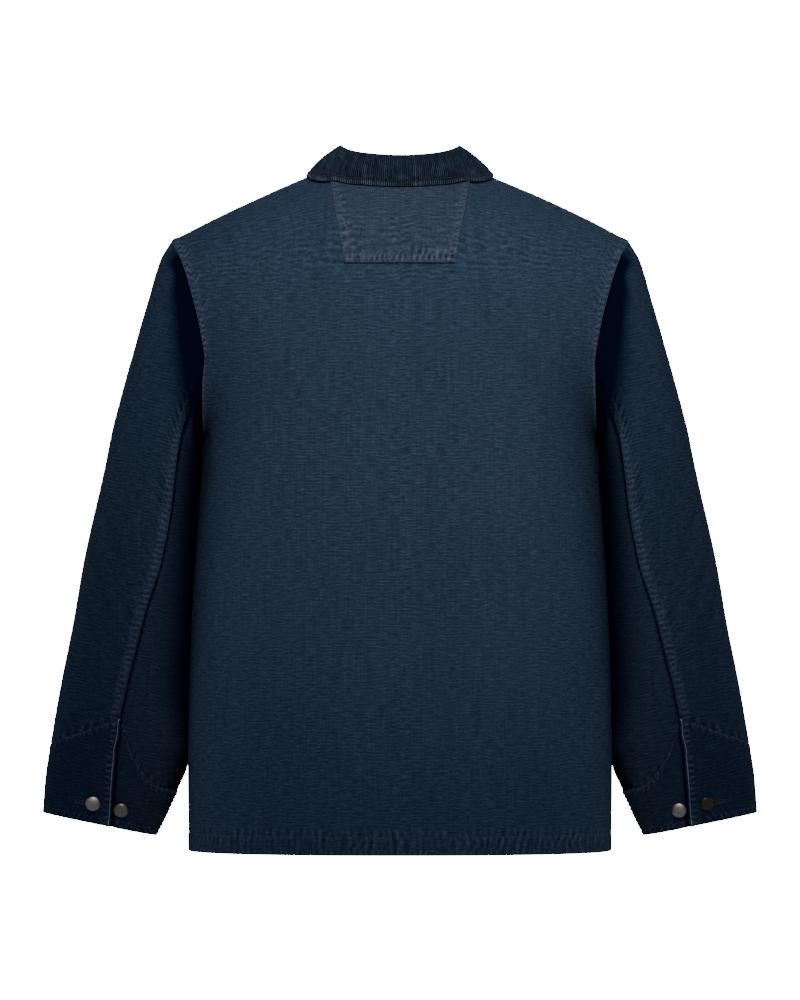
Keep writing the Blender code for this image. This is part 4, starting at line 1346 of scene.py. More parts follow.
@dataclass(frozen=True)
class CanvasFinish:
    """Washed cotton canvas: a plain weave with slubs, faded where it is rubbed."""

    name: str
    deep: Colour
    body: Colour
    light: Colour
    worn: Colour
    shade_colour: Colour = (0.0007, 0.0025, 0.0120)  # the colour of painted shade, in the hollows beside the seams and wherever shade is painted
    bare: Colour = (0.46, 0.49, 0.52)  # where an edge is rubbed down to the cotton
    slub: float = 0.00356  # from one thick weft yarn to the next
    yarn: float = 0.00078  # the weft's pitch
    ridge: float = 0.0062  # from one drawn-up ridge on a seam to the next
    streak: float = 1.35
    roughness: float = 0.86
    sheen: float = 0.0

    def weave(self, n: Nodes, cut: Socket) -> tuple[Socket, Socket]:
        """Add the unevenness of the yarns.

        Args:
            n: The material's nodes.
            cut: The distances on the cut cloth.

        Returns:
            The finest grain, and the streaks of all yarns together.
        """
        noises = [(n.noise(n.scaled(cut, across, along), detail, rough), part)
                  for across, along, detail, rough, part in (
                      (80.0, 0.50 / self.yarn, 2.5, 0.62, 1.25 * self.streak),  # thick weft
                      (190.0, 1.0 / self.yarn, 2.0, 0.60, 0.75 * self.streak),  # fine weft
                      (0.42 / self.yarn, 16.0, 2.0, 0.55, 0.36 * self.streak),  # warp
                      (620.0, 620.0, 2.0, 0.60, 0.65 * self.streak),  # grain
                      (9.0, 6.5, 3.0, 0.55, 0.12))]  # clouds
        streaks = 0.5
        for noise, part in noises:
            streaks = n.math("MULTIPLY_ADD", n.math("SUBTRACT", noise, 0.5), part, streaks)
        return noises[-2][0], streaks

    def ridges(self, n: Nodes, cut: Socket, split: bpy.types.Node) -> tuple[Socket, Socket]:
        """Add the ridges that a seam's stitching draws up.

        Args:
            n: The material's nodes.
            cut: The distances on the cut cloth.
            split: The node that parts them into across and along.

        Returns:
            The crests and the pits between them, from 0 to about 1.
        """
        jitter = n.math("MULTIPLY", n.noise(n.scaled(cut, 42.0, 42.0), 2.0), 9.0)
        firm = n.spread(n.noise(n.scaled(cut, 160.0, 160.0), 1.0), 0.30, 0.60, 0.30, 1.15)
        crests, pits = 0.0, 0.0
        for axis, name in enumerate(("ridges_across", "ridges_along")):
            turn = n.math("MULTIPLY_ADD", split.outputs[axis], math.tau / self.ridge, jitter)
            amount = n.math("MULTIPLY", n.field(name), firm)
            crest, pit = (n.math("POWER", n.math("MAXIMUM", n.math("SINE", wave), 0.0), power)
                          for wave, power in ((turn, 2.2), (n.math("ADD", turn, math.pi), 5.0)))
            crests = n.math("MULTIPLY_ADD", crest, amount, crests)
            pits = n.math("MULTIPLY_ADD", pit, amount, pits)
        return crests, pits

    def build(self) -> bpy.types.Material:
        """Return the material.

        Returns:
            The material, which reads wear, shade and ridges from the mesh.
        """
        n = Nodes(self.name)
        cut = n.cut()
        grain, streaks = self.weave(n, cut)
        split = n.add("SeparateXYZ", {0: cut})
        drift = n.noise(n.scaled(cut, 34.0, 22.0), 2.0)
        thick = n.math("MULTIPLY_ADD", split.outputs[1], math.tau / self.slub,
                       n.math("MULTIPLY", drift, 14.0))
        strong = n.spread(n.noise(n.scaled(cut, 85.0, 60.0), 2.0), 0.35, 0.70, 0.0, 0.20)
        streaks = n.math("MULTIPLY_ADD", n.math("SINE", thick), strong, streaks)
        colour = n.blend(n.spread(streaks, 0.05, 0.55), rgba(self.deep), rgba(self.body))
        colour = n.blend(n.spread(streaks, 0.50, 1.10), colour, rgba(self.light))
        knots = n.noise(n.scaled(cut, 290.0, 290.0), 2.0, 0.6)
        ridge, pit = self.ridges(n, cut, split)
        wear, shade = n.field("wear"), n.field("shade")
        # the faded share also carries the painted light on the back's sides
        rubbed = n.math("MULTIPLY", wear, n.spread(knots, 0.36, 0.64, 0.10, 1.25))
        rubbed = n.math("MULTIPLY", rubbed, n.spread(grain, 0.30, 0.70, 0.50, 1.20), clamp=True)
        colour = n.blend(rubbed, colour, rgba(self.worn))
        # painted shade: the canvas darkens towards the shade colour by the mesh's shade
        colour = n.blend(shade, colour, rgba(self.shade_colour))
        # painted shade in the pits between a seam's drawn-up ridges
        colour = n.blend(n.math("MULTIPLY", pit, 0.55, clamp=True), colour, rgba(self.shade_colour))
        colour = n.blend(n.math("MULTIPLY", ridge, 0.62, clamp=True), colour, rgba(self.worn))
        colour = n.blend(n.spread(wear, 0.80, 1.0), colour, rgba(self.bare))
        across, along = (n.math("SINE", n.math("MULTIPLY", way, math.pi / self.yarn))
                         for way in split.outputs[:2])
        weave = n.math("MULTIPLY", across, along)
        rib = n.math("ABSOLUTE", along)
        height = n.math("MULTIPLY_ADD", weave, 0.22, n.math("MULTIPLY", rib, 0.30))
        height = n.math("MULTIPLY_ADD", streaks, 0.55, height)
        height = n.math("MULTIPLY_ADD", ridge, 0.80, height)
        rough = n.spread(streaks, 0.0, 1.0, self.roughness + 0.05, self.roughness - 0.06)
        return n.finish(colour, rough, height, 0.00030, Sheen_Weight=self.sheen, Sheen_Roughness=0.55,
                        Specular_IOR_Level=0.02)


@dataclass(frozen=True)
class CorduroyFinish:
    """Cotton corduroy: soft pile on the wales, and between them a base painted near-black as their shade."""

    name: str
    shaded_ground: Colour
    pile: Colour
    worn_and_lit_pile: Colour
    sheen: float = 0.22

    def build(self) -> bpy.types.Material:
        """Return the material.

        Returns:
            The material, which reads the wales' height from the mesh.
        """
        n = Nodes(self.name)
        cut = n.cut()
        fuzz = n.noise(n.scaled(cut, 2600.0, 1500.0), 2.0, 0.65)
        patches = n.noise(n.scaled(cut, 95.0, 60.0), 3.0, 0.6)
        bald = n.noise(n.scaled(cut, 330.0, 70.0), 2.0, 0.6)
        nap = n.math("MULTIPLY_ADD", n.math("SUBTRACT", fuzz, 0.5), 0.8, n.field("wale"))
        # painted shade: the valleys between the wales go to the near-black shaded base
        colour = n.blend(n.spread(nap, 0.30, 0.85), rgba(self.shaded_ground), rgba(self.pile))
        colour = n.blend(n.spread(bald, 0.42, 0.66, 0.0, 0.75), colour, rgba(self.shaded_ground))
        # painted highlight: lit patches on the wales' crests
        lit = n.math("MULTIPLY", n.spread(patches, 0.48, 0.70), n.spread(nap, 0.50, 1.0), clamp=True)
        colour = n.blend(n.math("MULTIPLY", lit, 0.70), colour, rgba(self.worn_and_lit_pile))
        specks = n.math("MULTIPLY", n.field("wear"), n.spread(nap, 0.45, 1.05, 0.0, 1.2))
        colour = n.blend(n.math("MULTIPLY", specks, n.spread(patches, 0.35, 0.65, 0.3, 1.2), clamp=True),
                         colour, rgba(self.worn_and_lit_pile))
        # painted shade from the mesh's shade
        colour = n.blend(n.math("MULTIPLY", n.field("shade"), 0.7), colour,
                         rgba(tuple(c * 0.4 for c in self.shaded_ground)))
        return n.finish(colour, 0.93, fuzz, 0.00022, Sheen_Weight=self.sheen, Sheen_Roughness=0.4,
                        Sheen_Tint=rgba(self.worn_and_lit_pile), Specular_IOR_Level=0.15)


@dataclass(frozen=True)
class ThreadFinish:
    """Cotton-wrapped sewing thread, a little paler than the cloth after washing."""

    name: str
    dark: Colour
    light: Colour

    def build(self) -> bpy.types.Material:
        """Return the material.

        Returns:
            The material.
        """
        n = Nodes(self.name)
        place = n.add("TexCoord").outputs["Object"]
        tone = n.noise(n.scaled(place, 300.0, 300.0, 300.0), 2.0, 0.6)
        twist = n.noise(n.scaled(place, 3500.0, 3500.0, 3500.0), 1.0)
        colour = n.blend(n.spread(tone, 0.3, 0.7), rgba(self.dark), rgba(self.light))
        return n.finish(colour, 0.78, twist, 0.0001, Sheen_Weight=0.1, Specular_IOR_Level=0.3)


@dataclass(frozen=True)
class MetalFinish:
    """Plated metal, gunmetal grey, brighter where the plating is rubbed."""

    name: str
    plate: Colour
    rubbed: Colour
    roughness: float = 0.42

    def build(self) -> bpy.types.Material:
        """Return the material.

        Returns:
            The material, which reads the rubbed rim from the mesh.
        """
        n = Nodes(self.name)
        place = n.add("TexCoord").outputs["Object"]
        stain = n.noise(n.scaled(place, 420.0, 420.0, 420.0), 4.0, 0.6)
        scratch = n.noise(n.scaled(place, 2600.0, 500.0, 1500.0), 3.0, 0.7)
        edge = n.field("wear")
        lighten = n.math("MULTIPLY_ADD", n.math("SUBTRACT", stain, 0.5), 0.7, edge, clamp=True)
        colour = n.blend(lighten, rgba(self.plate), rgba(self.rubbed))
        rough = n.spread(scratch, 0.3, 0.75, self.roughness - 0.08, self.roughness + 0.12)
        return n.finish(colour, rough, scratch, 0.00004, Metallic=1.0)


@dataclass(frozen=True)
class PlainFinish:
    """A matt surface with slight unevenness, for the studio and for shadowed insides."""

    name: str
    colour: Colour
    roughness: float = 0.9

    def build(self) -> bpy.types.Material:
        """Return the material.

        Returns:
            The material.
        """
        n = Nodes(self.name)
        tone = n.noise(n.scaled(n.add("TexCoord").outputs["Object"], 3.0, 3.0, 3.0), 3.0)
        paler = rgba(tuple(min(c * 1.03, 1.0) for c in self.colour))
        return n.finish(n.blend(tone, rgba(self.colour), paler), self.roughness)


class Finish(Enum):
    """The jacket's finishes, each with the record's slot that it belongs to."""

    CANVAS = (CanvasFinish("navy_canvas", (0.0138, 0.0237, 0.0378), (0.0280, 0.0445, 0.0635),
                           (0.053, 0.082, 0.111), (0.096, 0.134, 0.174)), "canvas")
    FADED = (CanvasFinish("patch_canvas", (0.0205, 0.0280, 0.0405), (0.0385, 0.0505, 0.0695),
                          (0.068, 0.087, 0.115), (0.104, 0.130, 0.168)), "faded_canvas")
    CORDUROY = (CorduroyFinish("navy_corduroy", (0.0004, 0.0016, 0.0058), (0.019, 0.038, 0.066),
                               (0.095, 0.128, 0.170)), "corduroy")
    THREAD = (ThreadFinish("navy_thread", (0.020, 0.034, 0.056), (0.066, 0.092, 0.126)), "canvas")
    # painted shade: a darker copy of the thread, for stitching that lies in shade
    SLEEVE_THREAD = (ThreadFinish("deep_thread", (0.006, 0.012, 0.023), (0.030, 0.046, 0.070)), "canvas")
    METAL = (MetalFinish("gunmetal", (0.18, 0.168, 0.152), (0.42, 0.395, 0.355)), "metal")
    # painted shade: darker copies of the gunmetal
    DULL_METAL = (MetalFinish("dull_gunmetal", (0.105, 0.098, 0.094), (0.27, 0.255, 0.24)), "metal")
    DARK_METAL = (MetalFinish("dark_gunmetal", (0.030, 0.023, 0.016), (0.110, 0.088, 0.066)), "metal")
    # painted shade: near-black for buttonhole slits and needle pits
    HOLE = (PlainFinish("buttonhole_shadow", (0.003, 0.005, 0.008)), "canvas")

    def material(self) -> bpy.types.Material:
        """Return the finish's material, made once."""
        recipe = self.value[0]
        return bpy.data.materials.get(recipe.name) or recipe.build()


def dressed(made: bpy.types.Object, finish: Finish, *nodes: str) -> bpy.types.Object:
    """Give a piece its finish and its place in the frame.

    Args:
        made: The piece.
        finish: Its finish.
        nodes: The solids that it stands for.

    Returns:
        The piece.
    """
    made.data.materials.append(finish.material())
    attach(made, BODY)
    if nodes:
        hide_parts(*nodes)
    return made


# ---- the jacket's pieces

BACKWARD, FORWARD = (0.0, 1.0, 0.0), (0.0, -1.0, 0.0)


@dataclass(frozen=True)
class Seams:
    """Sizes that the seams share."""

    edge_row: float = 1.7  # the first row of stitching, from an edge
    felled_row: float = 7.4  # the second row on an armhole or a shoulder
    elbow_row: float = 10.6  # the second row on a sleeve's back seam
    tuck: float = 4.0  # the seam allowance that turns in
    wall: float = 1.3
    hem_wall: float = 2.6
    lap_gap: float = 0.5
    button_stand: float = 0.065  # the lap past the centre front, as a part of half the front

    def lapped(self, points: Grid, places: np.ndarray) -> Grid:
        """Return the right front's points, which lie below the left front's at the lap.

        Args:
            points: The left front's points.
            places: Their columns' places.

        Returns:
            The points on the wearer's right.
        """
        under = Cloth(points, FORWARD)
        share = ease((3 * self.button_stand - places) / self.button_stand / 2)
        depth = (self.hem_wall + self.lap_gap) * share
        return mirrored(points - under.normals * depth[None, :, None])


# soft creases: start and end as (across, along), half the width, the depth and the bow
BACK_CREASES = (
    ((222, 470), (120, 640), 15.0, 0.9, 7.0),
    ((236, 420), (160, 560), 11.0, 0.7, -6.0),
    ((205, 90), (238, 250), 20.0, 0.9, 9.0),
)
BACK_CENTRE_CREASES = (  # across is from the centre
    ((-60, 120), (-20, 330), 24.0, 0.7, 10.0),
    ((95, 60), (60, 210), 20.0, 0.6, -8.0),
)
FRONT_CREASES = (
    ((120, 640), (230, 520), 14.0, 1.0, 9.0),
    ((60, 200), (46, 420), 18.0, 0.7, -6.0),
    ((250, 120), (262, 330), 16.0, 0.8, 7.0),
)
SLEEVE_HEAD_CREASES = (((236, 40), (300, 150), 13.0, 1.2, 8.0), ((64, 46), (30, 150), 12.0, 1.0, -7.0))
# across the elbow: start across and along, the length, and the depth
ELBOW_CREASES = ((30, 268, 84, 1.3), (24, 318, 96, 1.6), (34, 362, 78, 1.2), (40, 214, 66, 0.8),
                 (52, 424, 64, 0.9))
FRONT_ELBOW_CREASES = ((176, 250, 92, 1.4), (170, 306, 104, 1.7), (164, 356, 88, 1.2), (186, 410, 60, 0.9))


@dataclass
class Torso:
    """The back and the two fronts, with their hem, armhole, shoulder and side seams."""

    form: BodyForm
    seams: Seams
    hem_height: float = 18.5
    facing: float = 34.0
    fine: float = 1.3
    ring_length: float = 312.0
    upper_rows: int = 132
    front_rows: tuple[float, float] = (2.3, 10.0)  # the stitching along the button edge
    sewn_from: float = 0.16  # how far up the armhole its stitching starts

    def __post_init__(self) -> None:
        """Work out the rows, which all three panels share."""
        low, under = self.form.hem_z, self.form.underarm_z
        lower = graded(under - low, self.fine, 5.0, [(0.0, self.hem_height + 8.0)])
        self.low_z = low + (under - low) * lower
        self.heights = np.linspace(0.0, 1.0, self.upper_rows + 1)[1:]
        self.armhole_part = (len(self.low_z) - 1) / (len(self.low_z) + self.upper_rows - 1)

    def points(self, side: Side, places: np.ndarray) -> Grid:
        """Return a panel's form, from the hem up to the neck and shoulder seams.

        Args:
            side: The back or the front.
            places: From the centre (0) to the armhole or side seam (1).

        Returns:
            The grid.
        """
        below = self.form.ring(self.low_z, side, places)
        above = self.form.upper(side, places[None, :], self.heights[:, None])
        return softened(np.concatenate([below, above]), 11.0)

    def where_armhole(self, cloth: Cloth) -> Field:
        """Return 1 beside the armhole and 0 beside the side seam."""
        rows = np.arange(cloth.base.shape[0])[:, None] - (len(self.low_z) - 1)
        return ease((rows - 2.0) / 36.0) * np.ones_like(cloth.lift)

    def sew_up(self, cloth: Cloth, sides: Iterable[Edge], seed: int) -> None:
        """Shape the hem, the armholes, the side seams and the shoulder of a panel.

        Args:
            cloth: The panel.
            sides: Its edges that have a side seam and an armhole.
            seed: Which sets of waves.
        """
        armhole = self.where_armhole(cloth)
        cloth.uneven(88.0, 0.55, seed)
        for edge in sides:
            cloth.lift *= 1 - (1 - armhole) * (1 - ease((cloth.gap(edge) - 6.0) / 34.0))
        cloth.sewn(Edge.FIRST_ROW, Sewing.HEM, seed)
        # painted shade: darker along the hem
        cloth.shade += 0.16 * ease((self.hem_height + 6.0 - cloth.along) / 8.0)
        for k, edge in enumerate(sides):
            cloth.sewn(edge, Sewing.ARMHOLE, seed + k, armhole)

    def back(self) -> Cloth:
        """Return the back, one piece from side seam to side seam.

        Returns:
            The back, shaped.
        """
        half = graded(self.ring_length, self.fine, 2.6, [(self.ring_length - 16, self.ring_length)], 12)
        places = np.concatenate([-half[:0:-1], half])
        cloth = Cloth(self.points(Side.BACK, places), BACKWARD)
        self.sew_up(cloth, SIDE_EDGES, 100)
        cloth.sewn(Edge.LAST_ROW, Sewing.BACK_SHOULDER, 100, self.where_shoulder(places, Side.BACK))
        cloth.roll(Edge.LAST_ROW, 1.3)
        self.relax_back(cloth)
        x, below = cloth.base[..., 0], ease((-cloth.base[..., 2] - 170.0) / 90.0)
        # painted light: the lower part of the wearer's left side, and less the right side, are painted paler
        cloth.lighten(0.13 * ease((x - 120.0) / 100.0) * below + 0.05 * ease((-x - 40.0) / 60.0))
        # painted shadow below the collar's leaf
        cloth.shade += 0.85 * leaf_shadow(cloth.base)
        return cloth

    def relax_back(self, cloth: Cloth) -> None:
        """Press the few soft creases of the worn back.

        Args:
            cloth: The back.
        """
        centre = cloth.across[0, -1] / 2
        for sign in (-1, 1):
            def at(out: float, up: float) -> tuple[float, float]:
                """Return a place by its distance out from the centre and up from the hem."""
                return centre + sign * out, up

            for start, end, width, depth, bow in BACK_CREASES:
                cloth.crease(at(*start), at(*end), width, depth, bow * sign)
            cloth.crease(at(262, 330), at(214, 436), 13.0, 0.9, 5.0)
        for (out, up), (out_to, up_to), *shape in BACK_CENTRE_CREASES:
            cloth.crease((centre + out, up), (centre + out_to, up_to), *shape)

    def where_shoulder(self, places: np.ndarray, side: Side) -> Field:
        """Return 1 below the shoulder seam and 0 below the neck seam."""
        return ease((np.abs(places) - self.form.neck_part[side]) / 0.03)[None, :]

    def front(self, on_top: bool) -> Cloth:
        """Return a front with its button edge.

        Args:
            on_top: True for the wearer's left front, which laps over the other.

        Returns:
            The front, on the side where it is worn.
        """
        s = self.seams
        whole = self.ring_length + s.button_stand * self.ring_length
        part = graded(whole, self.fine, 2.8, [(0.0, 14.0), (whole - 16, whole)], 12)
        places = -s.button_stand + (1 + s.button_stand) * part
        points = self.points(Side.FRONT, places)
        cloth = Cloth(points if on_top else s.lapped(points, places), FORWARD)
        seed = 200 if on_top else 300
        self.sew_up(cloth, (Edge.LAST_COLUMN,), seed)
        cloth.sewn(Edge.FIRST_COLUMN, Sewing.FRONT_EDGE, seed)
        cloth.sewn(Edge.LAST_ROW, Sewing.FRONT_SHOULDER, seed, self.where_shoulder(places, Side.FRONT))
        cloth.roll(Edge.LAST_ROW, 1.3)
        for crease in FRONT_CREASES:
            cloth.crease(*crease)
        return cloth

    def make(self, thread: Thread) -> None:
        """Make the three panels and their stitching.

        Args:
            thread: Where the stitching goes.
        """
        s = self.seams
        back, left, right = self.back(), self.front(True), self.front(False)
        for cloth in (back, left, right):
            thread.sew(cloth.line(Edge.FIRST_ROW, self.hem_height))
        rows = (s.edge_row, s.felled_row)
        up = self.armhole_part + self.sewn_from * (1 - self.armhole_part)
        for edge in SIDE_EDGES:
            for row in rows:
                thread.sew(back.line(edge, row, up, 0.996), True)
        for cloth in (left, right):
            for row in rows:
                thread.sew(cloth.line(Edge.LAST_COLUMN, row, up, 0.996), True)
            for row in self.front_rows:
                thread.sew(cloth.line(Edge.FIRST_COLUMN, row, 0.004, 0.992))
        shoulder = 0.5 - self.form.neck_part[Side.BACK] / 2
        for row in rows:
            thread.sew(back.line(Edge.LAST_ROW, row, 0.004, shoulder))
            thread.sew(back.line(Edge.LAST_ROW, row, 1 - shoulder, 0.996))
        for name, cloth in (("back", back), ("front_left", left), ("front_right", right)):
            centre = cloth.base.shape[1] // 2 if name == "back" else 0
            if name == "back":
                cloth.fold_in(Edge.FIRST_COLUMN, s.tuck, s.wall, 2)
            else:
                cloth.fold_in(Edge.FIRST_COLUMN, self.facing, 2.0, 6)
            for edge in (Edge.LAST_COLUMN, Edge.LAST_ROW):
                cloth.fold_in(edge, s.tuck, s.wall, 2)
            cloth.fold_in(Edge.FIRST_ROW, self.hem_height, s.hem_wall, 6)
            hang(dressed(cloth.build(name + "_cloth", centre, up_body), Finish.CANVAS, name), cloth)
        self.panels = {"back": back, "front_left": left, "front_right": right}


def hang(made: bpy.types.Object, cloth: Cloth) -> None:
    """Log the size that a piece of cloth was cut to.

    Args:
        made: Its object.
        cloth: The cloth that was cut.
    """
    width, length, area = cloth.flat_size()
    log.info("%s: cut %.3f by %.3f m, %.4f m2", made.name, width, length, area)


@dataclass
class Sleeve:
    """The left sleeve's two pieces and its shaped cuff, and the same mirrored."""

    form: SleeveForm
    seams: Seams
    cuff_wall: float = 2.2
    top_width: float = 470.0  # around the top sleeve, which sets how close its columns are
    under_width: float = 112.0
    cuff_row: float = 6.2  # the stitching above the cuff's edge
    vent_row: float = 3.8  # the stitching beside the flap's edge
    cuff_hem: float = 34.0
    vent_hem: float = 16.0
    tongue_columns: int = 14
    tongue_angle: float = 24.0  # how far the buttons' side reaches in below the flap
    ramp_angle: float = 14.0
    edge_dip: float = 14.0
    seam_gap: float = 0.3
    behind: float = 172.0  # how far round from the back seam the armhole's dip and its painted shadow go
    sleeve_shade: float = 0.20  # how much painted shade lies over the whole sleeves and cuffs

    def grids(self, parts: np.ndarray, end: float, line: Table) -> tuple[Grid, Grid, np.ndarray]:
        """Return the sleeve's and the cuff's points, and the cuff seam's drops.

        Args:
            parts: Columns, from the back seam (0) to the inseam (1).
            end: The inseam's angle.
            line: The cuff's shaped seam.

        Returns:
            The sleeve's grid, the cuff's grid and the drops.
        """
        ends = self.form.cuff_seam(parts, end, line)
        length = float(ends.mean())
        rows = graded(length, 1.5, 2.9, [(0.0, 8.0), (length - 8.0, length)], 20)
        drops = rows[:, None] * ends
        starts = ends + self.seam_gap
        tall = float(self.form.length - starts.mean())
        cuff_rows = graded(tall, 1.2, 1.9, [(0.0, 6.0), (tall - 8.0, tall)], 14)
        cuff = starts + (self.form.length - starts) * cuff_rows[:, None]
        sleeve, lower = (self.form.at(d, self.form.angle_at(d, parts[None, :], end) * np.ones_like(d))
                         for d in (drops, cuff))
        return sleeve, lower, starts

    def shape_sleeve(self, cloth: Cloth, top: bool) -> None:
        """Shape the armhole, the back seam, the inseam and the cuff's seam of a piece.

        Args:
            cloth: The piece.
            top: True for the top sleeve.
        """
        s = self.seams
        seed = 400 if top else 500
        inseam = 1 - ease((cloth.gap(Edge.LAST_COLUMN) - 4.0) / 30.0)
        cloth.uneven(70.0, 0.5, seed)
        cloth.lift *= 1 - inseam
        # painted shadow: a dip beside the armhole, painted dark as in the photo's shadow band
        behind = ease((self.behind - cloth.across) / 36.0) if top else 1.0
        reach = 24.0 + 30.0 * ease((130.0 - cloth.across) / 100.0)
        reach -= 13.0 * ease((cloth.across - 108.0) / 22.0)
        cloth.shaded_hollow(Edge.FIRST_ROW, 7.0, reach if top else 24.0, 5.0, 1.0, behind)
        cloth.sewn(Edge.FIRST_ROW, Sewing.SLEEVE_HEAD, seed)
        cloth.sewn(Edge.LAST_ROW, Sewing.SLEEVE_END, seed)
        # painted shade over the sleeve, deeper towards the cuff
        cloth.shade += self.sleeve_shade + 0.10 * ease(cloth.along / 520.0)
        if top:
            cloth.sewn(Edge.FIRST_COLUMN, Sewing.ELBOW, seed)
            cloth.ridge(Edge.FIRST_COLUMN, 6.0, 5.4, 0.72, ease((cloth.along - 40.0) / 60.0))
            cloth.lighten(0.30 * bell(cloth.across - 5.5, 5.5, 4))
            self.relax_sleeve(cloth)
        else:
            cloth.sewn(Edge.FIRST_COLUMN, Sewing.UNDER_ELBOW, seed)
            # painted shade along the elbow seam's edge, and painted shadow of the body along the inseam
            cloth.shaded_hollow(Edge.FIRST_COLUMN, 0.0, 5.5, 0.9, 0.70)
            share = cloth.along / cloth.along[-1]
            reach = (92.0 - 48.0 * share) * (1 - 0.45 * ease((share - 0.70) / 0.30))
            cloth.shaded_hollow(Edge.LAST_COLUMN, 0.0, reach, 0.0, 1.0)

    def relax_sleeve(self, cloth: Cloth) -> None:
        """Press the soft creases across the elbow and below the sleeve's head.

        Args:
            cloth: The top sleeve.
        """
        for across, along, wide, depth in ELBOW_CREASES:
            cloth.crease((across, along), (across + wide, along + 16), 9.5, depth, 6.0)
        for across, along, wide, depth in FRONT_ELBOW_CREASES:
            cloth.crease((across, along + 8), (across + wide, along), 9.5, depth, -6.0)
        for crease in SLEEVE_HEAD_CREASES:
            cloth.crease(*crease)

    def shape_cuff(self, cloth: Cloth, flap: bool) -> None:
        """Shape the shaped seam, the edge and the vent of one half of the cuff.

        Args:
            cloth: The piece.
            flap: True for the half that laps over the other.
        """
        seed = 600 if flap else 700
        for edge, sewing in ((Edge.FIRST_ROW, Sewing.CUFF_TOP), (Edge.LAST_ROW, Sewing.CUFF_EDGE),
                             (Edge.LAST_COLUMN, Sewing.CUFF_INSEAM)):
            cloth.sewn(edge, sewing, seed)
        cloth.lighten(0.30 * bell(cloth.gap(Edge.FIRST_ROW), 1.8))
        # painted shade, more on the cuffs
        cloth.shade += self.sleeve_shade + 0.21
        if flap:
            cloth.sewn(Edge.FIRST_COLUMN, Sewing.VENT, seed)
            cloth.wear += 2.3 * bell(cloth.gap(Edge.FIRST_COLUMN) - 1.2, 0.55)
        else:
            # painted shadow of the flap on the under cuff
            past = cloth.across - cloth.across[:, self.tongue_columns, None]
            cloth.shade += 0.85 * bell(np.clip(past - 1.0, 0.0, None), 4.5)
        cloth.uneven(40.0, 0.3, seed)

    def tongue(self, cuff: Grid, parts: np.ndarray, starts: np.ndarray) -> Grid:
        """Return the under cuff with the part that reaches in below the flap.

        Args:
            cuff: The under cuff's points.
            parts: Its columns.
            starts: Its columns' first drops.

        Returns:
            The longer grid.
        """
        flat = Cloth(cuff, (-0.6, 0.8, 0))
        past = parts * 90.0
        dip = (self.cuff_wall + self.seams.lap_gap) * ease(1 - past / self.ramp_angle)
        lowered = cuff - flat.normals * dip[None, :, None]
        seam_rows = np.linalg.norm(cuff[:, 0] - cuff[0, 0], axis=-1)
        share = (seam_rows / seam_rows[-1])[:, None]
        top = float(starts[0]) + self.edge_dip
        inwards = np.linspace(self.tongue_angle, 1.5, self.tongue_columns)[None, :]
        drops = top + (self.form.length - top) * share * np.ones_like(inwards)
        angles = BACK_SEAM.read("angle", drops) - inwards
        under = Cloth(self.form.at(drops, angles), (-0.2, 1.0, 0))
        inner = under.base - under.normals * (self.cuff_wall + self.seams.lap_gap)
        return np.concatenate([inner, lowered], axis=1)

    def make(self, thread: Thread) -> None:
        """Make both sleeves with their cuffs and stitching.

        Args:
            thread: Where the left sleeve's stitching goes; the right one's is mirrored.
        """
        s, wide, narrow = self.seams, self.top_width, self.under_width
        parts = graded(wide, 1.3, 2.7, [(0.0, 16.0), (wide - 8.0, wide)], 16)
        top, flap, _ = self.grids(parts, -180.0, CUFF_LINE_TOP)
        under_parts = graded(narrow, 1.3, 2.6, [(0.0, 8.0), (narrow - 8.0, narrow)], 10)
        below, cuff, starts = self.grids(under_parts, 180.0, CUFF_LINE_UNDER)
        cuff = self.tongue(cuff, under_parts, starts)
        pieces = {
            "top_sleeve": Cloth(top, (1, 0, 0)),
            "under_sleeve": Cloth(below, (-0.6, 0.8, 0)),
            "cuff_top": Cloth(flap, (1, -0.2, 0)),
            "cuff_under": Cloth(cuff, (-0.4, 0.9, 0)),
        }
        self.shape_sleeve(pieces["top_sleeve"], True)
        self.shape_sleeve(pieces["under_sleeve"], False)
        self.shape_cuff(pieces["cuff_top"], True)
        self.shape_cuff(pieces["cuff_under"], False)
        for row in (s.edge_row, s.elbow_row):
            thread.sew(pieces["top_sleeve"].line(Edge.FIRST_COLUMN, row, 0.16, 0.985), True)
        for name in ("cuff_top", "cuff_under"):
            thread.sew(pieces[name].line(Edge.FIRST_ROW, s.edge_row + 0.5))
            thread.sew(pieces[name].line(Edge.LAST_ROW, self.cuff_row))
            thread.sew(pieces[name].line(Edge.LAST_COLUMN, s.edge_row + 0.3, 0.02, 0.98))
        thread.sew(pieces["cuff_under"].line(Edge.LAST_COLUMN, s.felled_row, 0.04, 0.97))
        thread.sew(pieces["cuff_top"].line(Edge.FIRST_COLUMN, self.vent_row, 0.02, 0.99))
        for name, cloth in pieces.items():
            is_cuff = name.startswith("cuff")
            wall = self.cuff_wall if is_cuff else s.wall
            cloth.fold_in(Edge.FIRST_COLUMN, self.vent_hem if name == "cuff_top" else s.tuck, wall, 3)
            for edge in (Edge.LAST_COLUMN, Edge.FIRST_ROW):
                cloth.fold_in(edge, s.tuck, wall, 2)
            cloth.fold_in(Edge.LAST_ROW, *((self.cuff_hem, wall, 6) if is_cuff else (s.tuck, wall, 2)))
            left = cloth.build(f"{name}_cloth_left", cloth.base.shape[1] // 2, down_sleeve)
            right = mirrored_object(left, f"{name}_cloth_right")
            for made, side in ((left, "left"), (right, "right")):
                hang(dressed(made, Finish.CANVAS, f"{name}_{side}"), cloth)
        self.pieces = pieces


